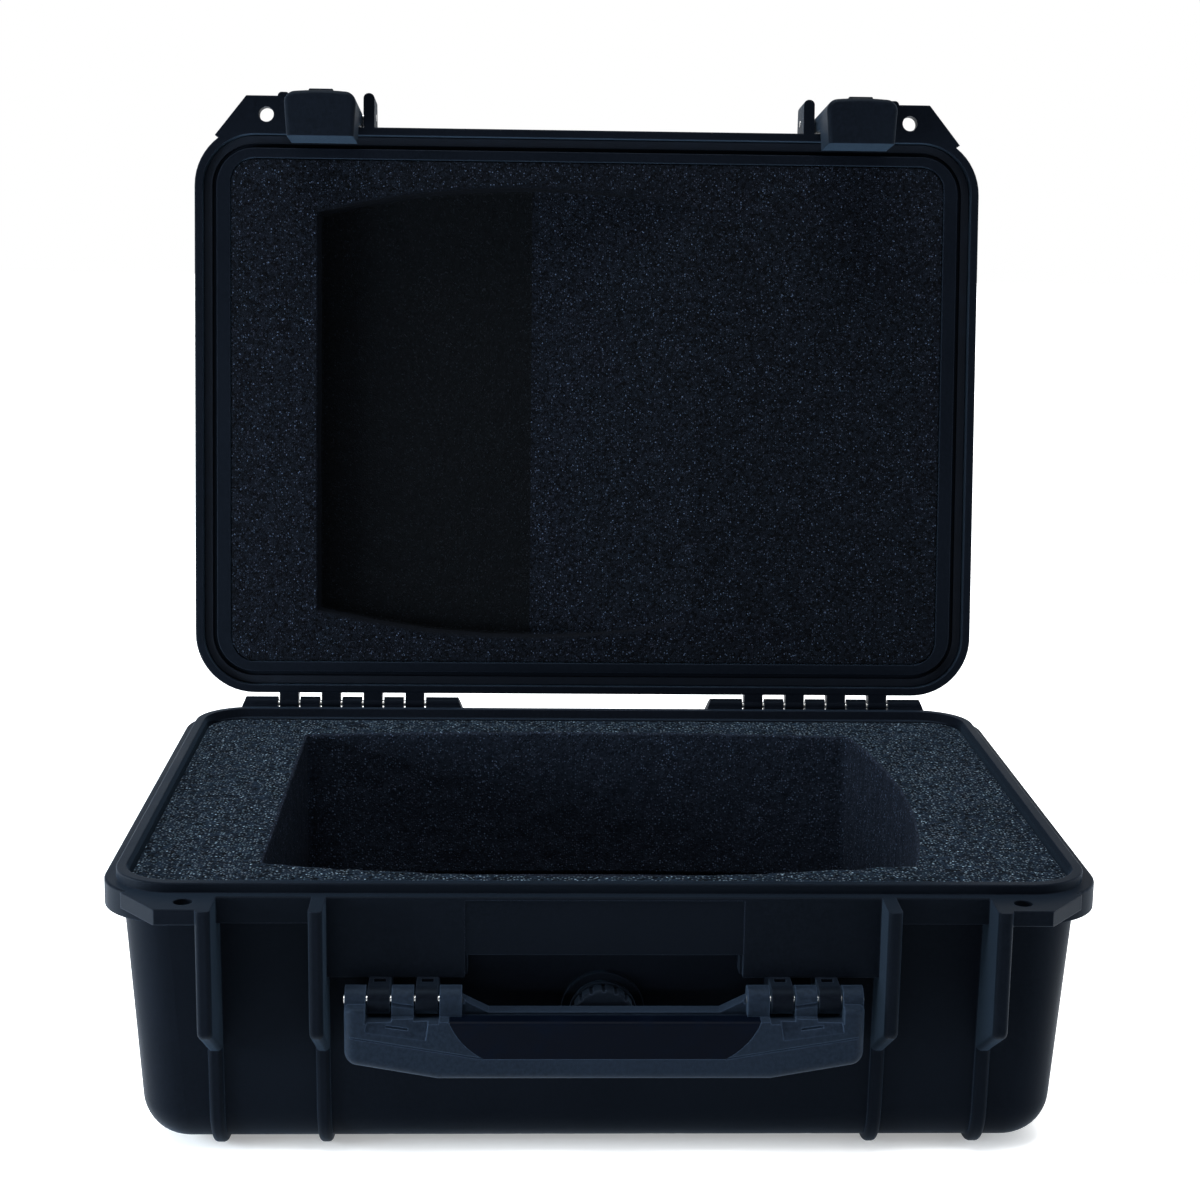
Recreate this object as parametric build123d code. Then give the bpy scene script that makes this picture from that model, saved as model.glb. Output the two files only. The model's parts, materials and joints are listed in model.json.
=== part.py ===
from build123d import *
import math
import os

# Waterproof carry case for a portable defibrillator, standing open.
# Millimetres, +Z up, front towards -Y. The pieces are drawn in case coordinates: x = 0 and y = 0 in the middle
# of the flange, z = 0 under the runners, with the lid closed. The lid is then swung open about its hinge.

# Overall sizes of the case
case_length = 502.0
case_depth = 361.8
rim_height = 145.9
lid_height = 45.5
flange_radius = 38.0
seam_gap = 0.3
open_angle = 97.74

# Base tub
wall_inset_x = 8.5
wall_inset_y = 13.0
wall = 4.0
draft_angle = 3.3
runner_height = 3.5
base_edge_radius = 24.0
skirt_height = 13.5
skirt_wall = 3.5
rim_thickness = 4.5
rim_rounding = 1.2
tongue_inset = 6.0
tongue_width = 4.5
tongue_height = 5.0
tongue_slope = 3.0
tongue_rounding = 0.8

# Lid
lid_wall_inset_x = 18.5
lid_wall_inset_y = 16.0
lid_skirt = 12.5
lid_edge_radius = 16.0
lid_band_height = 3.0
lid_band_rounding = 1.2
groove_inset = 5.0
groove_width = 9.0
groove_depth = 8.2
gasket_width = 5.0
gasket_gap = 0.3

# Ribs on the front, which turn into runners under the base
rib_outer_inset = 56.5
rib_outer_width = 7.5
rib_inner_width = 7.0
latch_bay = 46.75
rib_reach = 22.1
rib_deep_height = 64.5
rib_slope_height = 22.5
rib_low_reach = 4.0
rib_foot_step = 1.0
rib_rounding = 2.6
rib_corner = 5.0
lid_rib_height = 30.0
lid_rib_setback = 0.75
lid_rib_rounding = 3.3

# Padlock tabs on the front corners
tab_thickness = 8.0
tab_reach = 19.0
tab_corner_inset = 33.0
tab_hole_inset = 45.5
tab_hole_reach = 7.2
tab_hole_radius = 4.75
tab_rounding = 1.0
tab_root_angle = 70.0
tab_root_side = 12.0
tab_root_front = 4.0

# Apron between the inner ribs, with a bare recessed panel in its middle
apron_web = 2.5
panel_half = 69.0
panel_rise = 11.5
panel_recess = 0.8
panel_top_margin = 1.6

# Hinges
hinge_inset = 100.5
hinge_back = 7.0
hinge_rise = 4.2
knuckle_radius = 4.2
hinge_pin_radius = 2.0
running_gap = 0.05
arm_width = 12.0
arm_pitch = 27.0
arm_count = 4
arm_root_angle = 60.0
knuckle_gap = 1.2
end_knuckle_length = 26.0
end_knuckle_slope = 6.0

# Latches
latch_side_gap = 0.875
latch_axis_reach = 8.5
latch_axis_rise = 19.0
latch_end_radius = 7.0
latch_drop = 50.0
latch_hook_gap = 0.4
latch_hook_reach = 28.0
latch_corner = 7.0
latch_foot_rounding = 3.0
latch_crown = 1.4
latch_taper = 2.0
latch_core_depth = 8.5
latch_core_side = 4.0
latch_core_rib = 3.0
latch_core_margin = 4.0
latch_pin_radius = 2.0
button_width = 15.0
button_length = 18.0
button_proud = 2.0
button_thickness = 6.4
button_travel = 1.8
button_gap = 0.3
button_rounding = 0.9
button_low = 9.0

# Handle on the front
handle_side_gap = 10.0
handle_axis_reach = 11.1
handle_axis_z = 97.5
handle_knuckle_radius = 7.0
handle_back_reach = 3.6
handle_front_reach = 25.0
handle_drop = 37.0
handle_rail_drop = 6.5
handle_end_drop = 29.0
handle_end_slope = 45.5
handle_corner = 7.0
handle_edge_rounding = 5.0
handle_ear = 10.2
handle_ear_rounding = 2.5
handle_pin_proud = 0.8
handle_arm = 10.8
handle_arm_foot = 13.0
handle_pin_radius = 2.0
handle_rail_depth = 8.0
lug_width = 10.8
lug_gap = 0.9
lug_slot = 0.6
lug_pocket_width = 6.0
lug_pocket_length = 4.5
lug_pocket_depth = 3.0

# Bevelled recess in the front of each handle end, with a slot in it
end_recess_depth = 8.0
end_recess_height = 7.5
end_recess_tilt = 8.0
end_slot_width = 11.0
end_slot_height = 0.9
end_slot_depth = 1.5
seam_width = 0.7
seam_depth = 0.45
seam_end_rise = 11.4

# Soft grip let into the front of the handle
grip_top_half = 76.0
grip_bottom_half = 59.0
grip_drop = 25.5
grip_depth = 9.5
grip_bulge = 3.0
grip_groove = 3.6
grip_groove_depth = 7.0
grip_rounding = 2.0

# How far the moving pieces turn
handle_swing_angle = 95.0
latch_swing_angle = 110.0
valve_turn_angle = 180.0

# Purge valve in the front wall
valve_z = 81.5
valve_boss_radius = 21.0
valve_boss_reach = 4.5
valve_bore_radius = 9.5
valve_stem_gap = 0.15
valve_flange_radius = 17.0
valve_flange = 3.0
valve_knob_radius = 16.0
valve_knob_height = 8.5
valve_knob_gap = 0.3
valve_knob_ribs = 16
valve_knob_rib_radius = 1.1
valve_knob_rounding = 1.5
valve_slot_width = 2.6
valve_slot_depth = 1.6
valve_spindle_radius = 4.0
valve_nut_radius = 15.0
valve_nut_height = 7.0
valve_seat_radius = 16.5
valve_seat = 1.0
o_ring_radius = 1.3
o_ring_centre = 13.0

# Foam
foam_gap = 0.5
foam_below_rim = 0.5
pad_height = 45.0
foam_border_left = 64.5
foam_border_right = 75.5
foam_border_side = 37.4
pocket_right_bow = 14.0
pocket_front_bow = 19.0
pocket_back_bow = 7.5
nut_relief_radius = 19.0
nut_relief_depth = 12.0
lid_border_left = 55.9
lid_border_side = 33.9
lid_recess_length = 242.6
lid_recess_deep = 136.6
lid_recess_flare = 5.0
lid_recess_bow = 17.0
lid_recess_depth = 27.0

# How far cutting and joining shapes run past the faces that they meet
overlap = 1.5

# Places worked out from the sizes above
half_x = case_length / 2
half_y = case_depth / 2
floor_z = runner_height
skirt_z = rim_height - skirt_height
lid_z = rim_height + seam_gap
lid_top = rim_height + lid_height
tongue_top = rim_height + tongue_height
draft = math.tan(math.radians(draft_angle))
wall_half_x = half_x - wall_inset_x
wall_half_y = half_y - wall_inset_y
wall_radius = flange_radius - wall_inset_y
hinge_centre_x = half_x - hinge_inset
hinge_y = half_y + hinge_back
hinge_z = rim_height + hinge_rise
rib_front_y = -(half_y + rib_reach)
rib_outer_x = half_x - rib_outer_inset
rib_inner_x = rib_outer_x - (rib_outer_width + rib_inner_width) / 2 - latch_bay
rib_inner_face = rib_inner_x - rib_inner_width / 2
tab_corner_x = half_x - tab_corner_inset
tab_hole_x = half_x - tab_hole_inset
latch_x = rib_inner_x + rib_inner_width / 2 + latch_bay / 2
latch_width = latch_bay - 2 * latch_side_gap
latch_y = -(half_y + latch_axis_reach)
latch_z = rim_height + latch_axis_rise
latch_face_y = latch_y - latch_end_radius
latch_pin_length = rib_outer_x - rib_inner_x + (rib_outer_width + rib_inner_width) / 2
handle_half = rib_inner_face - handle_side_gap
handle_y = -(half_y + handle_axis_reach)
handle_front_y = -(half_y + handle_front_reach)
handle_back_y = -(half_y + handle_back_reach)
handle_rail_y = handle_back_y - handle_rail_depth
handle_rail_z = handle_axis_z - handle_rail_drop
lug_outer_x = handle_half - handle_ear - lug_gap - lug_width / 2
lug_inner_x = lug_outer_x - lug_width - 2 * lug_gap - handle_arm
inner_arm_x = lug_inner_x - lug_width / 2 - lug_gap - handle_arm
arm_foot_x = inner_arm_x - handle_arm_foot
handle_flat_half = handle_half - handle_end_slope
handle_pin_end = handle_half + handle_pin_proud
apron_z = handle_axis_z + handle_knuckle_radius
panel_z = apron_z + panel_rise
cavity_half_x = wall_half_x - wall
cavity_half_y = wall_half_y - wall
pocket_left = cavity_half_x - foam_border_left
pocket_right = cavity_half_x - foam_border_right
pocket_half = cavity_half_y - foam_border_side
pad_top = floor_z + wall + pad_height
lid_recess_left = half_x - lid_wall_inset_x - wall - lid_border_left
lid_recess_right = lid_recess_length - lid_recess_left
lid_recess_step = lid_recess_left - lid_recess_deep
lid_recess_half = half_y - lid_wall_inset_y - wall - lid_border_side


def tub_wall_y(height):
    """How far the outer face of the tub lies from the middle, at this height."""
    return wall_half_y - (rim_height - height) * draft


def mirrored(shape):
    """A shape on the right together with its mirror image on the left."""
    return shape + mirror(shape, Plane.YZ)


def inset_block(inset, low, high):
    """A block with the flange's outline, drawn in by inset all round."""
    outline = RectangleRounded(case_length - 2 * inset, case_depth - 2 * inset, flange_radius - inset)
    return Pos(0, 0, low) * extrude(outline, high - low)


def drafted_block(at_rim_x, at_rim_y, radius, rim, end):
    """A rounded block that gets smaller from the rim to its far end, by the draft angle."""
    shrink = abs(end - rim) * draft
    rim_outline = Pos(0, 0, rim) * RectangleRounded(2 * at_rim_x, 2 * at_rim_y, radius)
    end_outline = Pos(0, 0, end) * RectangleRounded(2 * (at_rim_x - shrink), 2 * (at_rim_y - shrink), radius)
    return loft([rim_outline, end_outline], ruled=True)


def side_plate(points, x, width):
    """A plate across X whose outline is a list of (y, z) points."""
    outline = Plane.YZ * Polygon(*points, align=None)
    return Pos(x, 0, 0) * extrude(outline, width / 2, both=True)


def flat_plate(points, low, high):
    """A level plate between two heights, whose outline is a list of (x, y) points."""
    outline = Polygon(*points, align=None)
    return Pos(0, 0, low) * extrude(outline, high - low, dir=(0, 0, 1))


def front_plate(points, y_low, y_high):
    """A plate between two depths, whose outline is a list of (x, z) points."""
    outline = Plane.XZ * Polygon(*points, align=None)
    return Pos(0, y_low, 0) * extrude(outline, y_high - y_low, dir=(0, 1, 0))


def rod(x, y, z, radius, length):
    """A round bar along X, centred at the point."""
    return Pos(x, y, z) * Rot(0, 90, 0) * Cylinder(radius, length)


def along_y(x, z, radius, y_low, y_high):
    """A round bar along Y between two places."""
    return Pos(x, (y_low + y_high) / 2, z) * Rot(90, 0, 0) * Cylinder(radius, y_high - y_low)


def box_between(low, high):
    """A box from its lowest to its highest corner."""
    size = [high[i] - low[i] for i in range(3)]
    centre = [(high[i] + low[i]) / 2 for i in range(3)]
    return Pos(*centre) * Box(*size)


def tub_cavity(gap, top):
    """The inside of the base, drawn in by gap."""
    block = drafted_block(
        cavity_half_x - gap, cavity_half_y - gap, wall_radius - wall, rim_height, floor_z + wall + gap
    )
    block = fillet(block.edges().group_by(Axis.Z)[0], base_edge_radius - wall)
    neck = Pos(0, 0, rim_height) * extrude(
        RectangleRounded(2 * (cavity_half_x - gap), 2 * (cavity_half_y - gap), wall_radius - wall),
        max(top - rim_height, overlap),
    )
    return block + neck


def lid_block(inset, radius, edge, low, high):
    """The domed block of the lid, drawn in by inset."""
    block = drafted_block(
        half_x - lid_wall_inset_x - inset, half_y - lid_wall_inset_y - inset, radius, low, high
    )
    return fillet(block.edges().group_by(Axis.Z)[-1], edge)


def padlock_tab(low, high):
    """The flat ear on the right front corner, which takes a padlock."""
    root = math.radians(tab_root_angle)
    root_x = half_x - flange_radius + flange_radius * math.cos(root)
    root_y = half_y - flange_radius + flange_radius * math.sin(root)
    points = [
        (root_x - flange_radius / 2, -(half_y - 2 * overlap)),
        (rib_outer_x, -(half_y - 2 * overlap)),
        (rib_outer_x, -(half_y + tab_reach)),
        (tab_corner_x, -(half_y + tab_reach)),
        (root_x + tab_root_side, -root_y + tab_root_front),
        (root_x, -root_y + tab_root_side),
    ]
    tab = flat_plate(points, low, high)
    front = tab.faces().sort_by(Axis.Y)[0]
    return fillet(front.edges().filter_by(Axis.X), tab_rounding)


def tab_hole(low, high):
    """The bore through the right padlock tab."""
    length = high - low + 2 * overlap
    return Pos(tab_hole_x, -(half_y + tab_hole_reach), (low + high) / 2) * Cylinder(tab_hole_radius, length)


def front_rib(x, width):
    """The deep upper part of a front rib, which guards the latch and the tab."""
    low = rim_height - rib_deep_height
    points = [
        (-(wall_half_y - wall), rim_height),
        (rib_front_y, rim_height),
        (rib_front_y, low),
        (-(tub_wall_y(low) + rib_foot_step), low - rib_slope_height),
        (-(tub_wall_y(low) - wall), low - rib_slope_height),
    ]
    rib = side_plate(points, x, width)
    corner = rib.edges().filter_by(Axis.X).sort_by(Axis.Y)[:2].sort_by(Axis.Z)[0]
    rib = fillet(corner, rib_corner)
    front = rib.faces().filter_by(Axis.Y).sort_by(Axis.Y)[0]
    return fillet(front.edges().filter_by(Axis.Z), rib_rounding)


def runner(x, width):
    """The shallow band that follows the tub down the front, under the floor and up the back."""
    front_top = rim_height - rib_deep_height - overlap
    back_top = skirt_z + overlap
    foot = tub_wall_y(0) + rib_low_reach
    points = [
        (-(tub_wall_y(front_top) + rib_low_reach), front_top),
        (-foot, 0),
        (foot, 0),
        (tub_wall_y(skirt_z) + rib_low_reach, back_top),
        (0, back_top),
        (0, front_top),
    ]
    band = side_plate(points, x, width)
    band = fillet(band.edges().filter_by(Axis.X).group_by(Axis.Z)[0], base_edge_radius + runner_height)
    rims = band.edges().filter_by(lambda edge: abs(edge.tangent_at(0.5).X) < 0.5)
    rims = rims.filter_by(lambda edge: on_outer_side(edge @ 0.5, front_top, back_top))
    return fillet(rims, rib_rounding)


def on_outer_side(point, front_top, back_top):
    """True for the middle of a runner's edge that lies on its outer side, not on its tops or on its inner step."""
    if min(abs(point.Z - front_top), abs(point.Z - back_top)) < seam_gap:
        return False
    return abs(point.Y) > wall or point.Z < seam_gap


def handle_lug(x):
    """One of the lugs that carry the handle pins, with the moulding pocket in its top."""
    low = handle_axis_z - handle_knuckle_radius
    root = -(tub_wall_y(low) - wall / 2)
    block = side_plate([(root, low), (root, apron_z), (handle_y, apron_z), (handle_y, low)], x, lug_width)
    block += rod(x, handle_y, handle_axis_z, handle_knuckle_radius, lug_width)
    pocket_y = -(half_y + overlap)
    return block - box_between(
        (x - lug_pocket_width / 2, pocket_y - lug_pocket_length, apron_z - lug_pocket_depth),
        (x + lug_pocket_width / 2, pocket_y, apron_z + overlap),
    )


def make_apron():
    """The plate under the flange between the inner ribs, with its bare panel and the webs behind it."""
    back_y = -(half_y - skirt_wall)
    apron = box_between((-rib_inner_x, -half_y, apron_z), (rib_inner_x, back_y, skirt_z + overlap))
    for x in (-panel_half, panel_half):
        apron += box_between(
            (x - apron_web / 2, back_y - overlap, apron_z),
            (x + apron_web / 2, -(tub_wall_y(apron_z) - wall / 2), skirt_z + overlap),
        )
    window = box_between((-panel_half, -half_y - overlap, apron_z - overlap), (panel_half, back_y + overlap, panel_z))
    return apron - window


def panel_recess_block():
    """The shallow recess of the bare panel in the front of the flange and apron."""
    return box_between(
        (-panel_half, -half_y - overlap, panel_z - overlap),
        (panel_half, -half_y + panel_recess, rim_height - panel_top_margin),
    )


def hinge_spans():
    """The x ranges of the base knuckles of the right hinge, end knuckles first and last."""
    first = hinge_centre_x - arm_pitch * (arm_count - 1) / 2
    half = arm_width / 2 + knuckle_gap
    spans = [(first - half - end_knuckle_length, first - half)]
    for index in range(arm_count - 1):
        centre = first + arm_pitch * index
        spans.append((centre + half, centre + arm_pitch - half))
    last = first + arm_pitch * (arm_count - 1)
    spans.append((last + half, last + half + end_knuckle_length))
    return spans


def hinge_arm_centres():
    """The x of each lid arm of the right hinge."""
    first = hinge_centre_x - arm_pitch * (arm_count - 1) / 2
    return [first + arm_pitch * index for index in range(arm_count)]


def base_knuckle(low_x, high_x, low_slope, high_slope):
    """A knuckle on the base: a barrel on a web behind the flange, its free end sloped."""
    centre = (low_x + high_x) / 2
    width = high_x - low_x
    points = [
        (half_y - overlap, skirt_z),
        (half_y - overlap, rim_height),
        (half_y + overlap / 2, rim_height),
        (hinge_y - knuckle_radius, hinge_z),
        (hinge_y + knuckle_radius, hinge_z),
        (hinge_y + knuckle_radius, hinge_z - knuckle_radius),
        (half_y + overlap, skirt_z),
    ]
    knuckle = side_plate(points, centre, width) + rod(centre, hinge_y, hinge_z, knuckle_radius, width)
    top = hinge_z + knuckle_radius + overlap
    slope_z = hinge_z - 2 * knuckle_radius
    zone = [
        (low_x, skirt_z - overlap),
        (high_x, skirt_z - overlap),
        (high_x, slope_z),
        (high_x - high_slope, top),
        (low_x + low_slope, top),
        (low_x, slope_z),
    ]
    return knuckle & front_plate(zone, half_y - 2 * overlap, hinge_y + knuckle_radius + overlap)


def lid_arm(centre):
    """An arm of the lid that turns on the hinge pin."""
    root = math.radians(arm_root_angle)
    points = [
        (half_y - overlap, lid_z + seam_gap),
        (hinge_y - knuckle_radius * math.cos(root), hinge_z - knuckle_radius * math.sin(root)),
        (hinge_y, hinge_z + knuckle_radius),
        (half_y - overlap, lid_z + lid_skirt - overlap),
    ]
    return side_plate(points, centre, arm_width) + rod(centre, hinge_y, hinge_z, knuckle_radius, arm_width)


def base_side_features():
    """What stands on the right half of the base: ribs, runners, padlock tab, handle lugs and hinge knuckles."""
    features = front_rib(rib_outer_x, rib_outer_width)
    features += front_rib(rib_inner_x, rib_inner_width)
    features += runner(rib_outer_x, rib_outer_width)
    features += runner(rib_inner_x, rib_inner_width)
    features += padlock_tab(rim_height - tab_thickness, rim_height)
    features += handle_lug(lug_outer_x)
    features += handle_lug(lug_inner_x)
    spans = hinge_spans()
    for index, (low_x, high_x) in enumerate(spans):
        low_slope = end_knuckle_slope if index == 0 else 0
        high_slope = end_knuckle_slope if index == len(spans) - 1 else 0
        features += base_knuckle(low_x, high_x, low_slope, high_slope)
    return features


def base_side_bores():
    """The bores on the right half of the base: padlock hole, handle pin and hinge pin."""
    bores = tab_hole(rim_height - tab_thickness, rim_height)
    low_x = lug_inner_x - lug_width / 2 - overlap
    pin_length = handle_pin_end + overlap - low_x
    pin_bore_radius = handle_pin_radius + running_gap
    bores += rod(low_x + pin_length / 2, handle_y, handle_axis_z, pin_bore_radius, pin_length)
    return bores + rod(hinge_centre_x, hinge_y, hinge_z, hinge_pin_radius + running_gap, hinge_pin_length())


def make_base_shell():
    """The base tub with its flange, tongue, ribs, tabs, lugs, knuckles, apron and valve boss."""
    tub = drafted_block(wall_half_x, wall_half_y, wall_radius, rim_height, floor_z)
    tub = fillet(tub.edges().group_by(Axis.Z)[0], base_edge_radius)
    rim = inset_block(0, skirt_z, rim_height)
    rim = fillet(rim.edges().group_by(Axis.Z)[-1], rim_rounding)
    rim = rim - inset_block(skirt_wall, skirt_z, rim_height - rim_thickness)
    tongue = inset_block(tongue_inset, rim_height - overlap, tongue_top)
    tongue = fillet(tongue.edges().group_by(Axis.Z)[-1], tongue_rounding)
    shell = tub + rim + tongue + make_apron() + mirrored(base_side_features())
    boss_front = -(tub_wall_y(valve_z) + valve_boss_reach)
    shell += along_y(0, valve_z, valve_boss_radius, boss_front, boss_front + 2 * valve_boss_reach)
    neck_inset = tongue_inset + tongue_width
    slope_low = Pos(0, 0, rim_height) * RectangleRounded(
        case_length - 2 * (neck_inset + tongue_slope),
        case_depth - 2 * (neck_inset + tongue_slope),
        flange_radius - neck_inset - tongue_slope,
    )
    slope_high = Pos(0, 0, tongue_top + overlap) * RectangleRounded(
        case_length - 2 * neck_inset, case_depth - 2 * neck_inset, flange_radius - neck_inset
    )
    shell -= loft([slope_low, slope_high], ruled=True)
    shell -= tub_cavity(0, tongue_top)
    shell -= panel_recess_block()
    shell -= mirrored(base_side_bores())
    inside = valve_inner_seat()
    shell += along_y(0, valve_z, valve_seat_radius, inside - wall / 2 - valve_seat, inside)
    shell -= along_y(0, valve_z, valve_bore_radius, boss_front - overlap, boss_front + 4 * wall)
    return shell


def lid_rib(x, width, rounding):
    """A rib on the front of the lid, beside the latch."""
    front_y = rib_front_y + lid_rib_setback
    dome_y = half_y - lid_wall_inset_y
    points = [
        (-(dome_y - wall), lid_z),
        (front_y, lid_z),
        (front_y, lid_z + lid_rib_height),
        (-dome_y, lid_top - lid_edge_radius / 2),
        (-(dome_y - wall), lid_top - lid_edge_radius / 2),
    ]
    rib = side_plate(points, x, width)
    front = rib.faces().filter_by(Axis.Y).sort_by(Axis.Y)[0]
    return fillet(front.edges().filter_by(Axis.Z), rounding)


def lid_band(x, width):
    """The shallow band that carries a rib on over the top of the lid and down its back."""
    cover = lid_block(
        -lid_band_height,
        flange_radius - lid_wall_inset_x + lid_band_height,
        lid_edge_radius + lid_band_height,
        lid_z,
        lid_top + lid_band_height,
    )
    slab = box_between((x - width / 2, -half_y, lid_z + lid_skirt - overlap), (x + width / 2, half_y, 2 * lid_top))
    band = cover & slab
    low = band.bounding_box().min.Z
    rims = band.faces().filter_by(Axis.X).edges().filter_by(lambda edge: (edge @ 0.5).Z > low + overlap)
    return fillet(rims, lid_band_rounding)


def make_lid_shell():
    """The lid, in its closed place."""
    dome = lid_block(0, flange_radius - lid_wall_inset_x, lid_edge_radius, lid_z, lid_top)
    rim = inset_block(0, lid_z, lid_z + lid_skirt)
    rim = fillet(rim.edges().group_by(Axis.Z)[-1] + rim.edges().group_by(Axis.Z)[0], rim_rounding)
    side = lid_rib(rib_outer_x, rib_outer_width, rib_rounding)
    side += lid_rib(rib_inner_x, rib_inner_width, lid_rib_rounding)
    side += lid_band(rib_outer_x, rib_outer_width)
    side += lid_band(rib_inner_x, rib_inner_width)
    side += padlock_tab(lid_z, lid_z + tab_thickness)
    for centre in hinge_arm_centres():
        side += lid_arm(centre)
    shell = dome + rim + mirrored(side)
    shell -= lid_block(wall, flange_radius - lid_wall_inset_x - wall, lid_edge_radius - wall, lid_z, lid_top - wall)
    groove = inset_block(groove_inset, lid_z, lid_z + groove_depth)
    groove -= inset_block(groove_inset + groove_width, lid_z, lid_z + groove_depth)
    shell -= groove
    bores = tab_hole(lid_z, lid_z + tab_thickness)
    bores += rod(latch_x, latch_y, latch_z, latch_pin_radius + running_gap, latch_pin_length + overlap)
    for centre in hinge_arm_centres():
        bores += rod(centre, hinge_y, hinge_z, hinge_pin_radius + running_gap, arm_width + overlap)
    return shell - mirrored(bores)


def make_lid_gasket():
    """The square-cut rubber seal that lies in the lid's groove."""
    centre = tongue_inset + tongue_width / 2
    low = tongue_top + gasket_gap
    high = lid_z + groove_depth
    ring = inset_block(centre - gasket_width / 2, low, high)
    return ring - inset_block(centre + gasket_width / 2, low, high)


def latch_plan(low, high):
    """The latch's outline from above: crowned and rounded on its outer side, narrower towards the hook."""
    hook_y = latch_face_y + latch_hook_reach + overlap
    half = latch_width / 2
    inner_half = half - latch_taper
    corner_y = latch_face_y + latch_crown
    crown = ThreePointArc((-half, corner_y), (0, latch_face_y), (half, corner_y))
    right = Line((half, corner_y), (inner_half, hook_y))
    back = Line((inner_half, hook_y), (-inner_half, hook_y))
    left = Line((-inner_half, hook_y), (-half, corner_y))
    outline = make_face([crown, right, back, left])
    outline = fillet(outline.vertices().group_by(Axis.Y)[0], latch_corner)
    return Pos(latch_x, 0, low) * extrude(outline, high - low, dir=(0, 0, 1))


def make_latch_lever():
    """The right latch, closed: a thick pull lever whose foot hooks under the flange."""
    foot_z = rim_height - latch_drop
    hook_z = skirt_z - latch_hook_gap
    inner_y = latch_y + latch_end_radius
    hook_y = latch_face_y + latch_hook_reach
    points = [
        (inner_y, latch_z),
        (inner_y, hook_z),
        (hook_y, hook_z),
        (hook_y, foot_z),
        (latch_face_y, foot_z),
        (latch_face_y, latch_z),
    ]
    lever = side_plate(points, latch_x, latch_width)
    lever += rod(latch_x, latch_y, latch_z, latch_end_radius, latch_width)
    lever &= latch_plan(foot_z - overlap, latch_z + latch_end_radius + overlap)
    outer_foot = lever.faces().sort_by(Axis.Z)[0].edges().filter_by(lambda edge: (edge @ 0.5).Y < latch_y)
    lever = fillet(outer_foot, latch_foot_rounding)
    for side in (1, -1):
        near = latch_x + side * latch_core_rib / 2
        far = latch_x + side * (latch_width / 2 - latch_core_side)
        lever -= box_between(
            (min(near, far), inner_y - latch_core_depth, hook_z + latch_core_margin),
            (max(near, far), inner_y + overlap, latch_z - latch_end_radius),
        )
    lever -= rod(latch_x, latch_y, latch_z, latch_pin_radius + running_gap, latch_width + overlap)
    low = foot_z + button_low - button_gap
    depth = button_thickness - button_proud + button_travel + button_gap
    return lever - box_between(
        (latch_x - button_width / 2 - button_gap, latch_face_y - overlap, low),
        (latch_x + button_width / 2 + button_gap, latch_face_y + depth, low + button_length + 2 * button_gap),
    )


def make_latch_button():
    """The press button in the right latch's outer face."""
    low = rim_height - latch_drop + button_low
    cap = box_between(
        (latch_x - button_width / 2, latch_face_y - button_proud, low),
        (latch_x + button_width / 2, latch_face_y - button_proud + button_thickness, low + button_length),
    )
    return fillet(cap.faces().sort_by(Axis.Y)[0].edges(), button_rounding)


def handle_block():
    """The handle's solid outline: two ears and arms above a bar with sloped, rounded ends."""
    low_z = handle_axis_z - handle_drop
    end_z = handle_axis_z - handle_end_drop
    right = [
        (handle_flat_half, low_z),
        (handle_half, end_z),
        (handle_half, handle_axis_z),
        (inner_arm_x, handle_axis_z),
        (arm_foot_x, handle_rail_z),
    ]
    left = [(-x, z) for x, z in reversed(right)]
    block = front_plate(right + left, handle_front_y, handle_back_y)
    corners = block.edges().filter_by(Axis.Y).filter_by(
        lambda edge: abs(abs((edge @ 0.5).X) - handle_half) < overlap and (edge @ 0.5).Z < end_z + overlap
    )
    block = fillet(corners, handle_corner)
    front = block.faces().sort_by(Axis.Y)[0]
    rims = front.edges().filter_by(
        lambda edge: abs((edge @ 0.5).X) > handle_half - overlap or (edge @ 0.5).Z < end_z + overlap
    )
    return fillet(rims, handle_edge_rounding)


def handle_body():
    """The whole handle before the soft grip is taken out of its front."""
    body = handle_block()
    length = handle_half - inner_arm_x
    centre = (handle_half + inner_arm_x) / 2
    body += mirrored(rod(centre, handle_y, handle_axis_z, handle_knuckle_radius, length))
    inside_ears = handle_half - handle_ear
    for half, depth_y in ((inside_ears, handle_y - handle_knuckle_radius), (inner_arm_x, handle_rail_y)):
        body -= box_between(
            (-half, handle_front_y - overlap, handle_rail_z),
            (half, depth_y, handle_axis_z + overlap),
        )
    slot_z = handle_axis_z - handle_knuckle_radius - lug_slot
    for x in (lug_outer_x, lug_inner_x):
        body -= mirrored(
            box_between(
                (x - lug_width / 2 - lug_gap, handle_front_y - overlap, slot_z),
                (x + lug_width / 2 + lug_gap, handle_back_y + overlap + wall, handle_axis_z + 2 * handle_knuckle_radius),
            )
        )
    ear_tops = body.edges().filter_by(Axis.X).filter_by(
        lambda edge: abs((edge @ 0.5).Z - handle_axis_z) < seam_gap and (edge @ 0.5).Y < handle_front_y + seam_gap
    )
    body = fillet(ear_tops, handle_ear_rounding)
    return body - mirrored(rod(centre, handle_y, handle_axis_z, handle_pin_radius + running_gap, length + 2 * overlap))


def end_recess():
    """The sloped bevel in the front of the handle's right end, with the slot in its face."""
    low_x = lug_inner_x + running_gap
    high_x = handle_half - handle_ear
    middle = (low_x + high_x) / 2
    length = high_x - low_x
    top = end_recess_height + handle_knuckle_radius
    bevel = side_plate([(-overlap, 0), (0, 0), (end_recess_depth, top), (-overlap, top)], 0, length)
    slot_z = end_recess_height / 2
    slot = Pos(0, end_slot_depth, slot_z) * Box(end_slot_width, 2 * end_slot_depth, end_slot_height)
    tilt_z = handle_rail_z - end_recess_height
    return Pos(middle, handle_front_y, tilt_z) * Rot(0, -end_recess_tilt, 0) * (bevel + slot)


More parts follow.
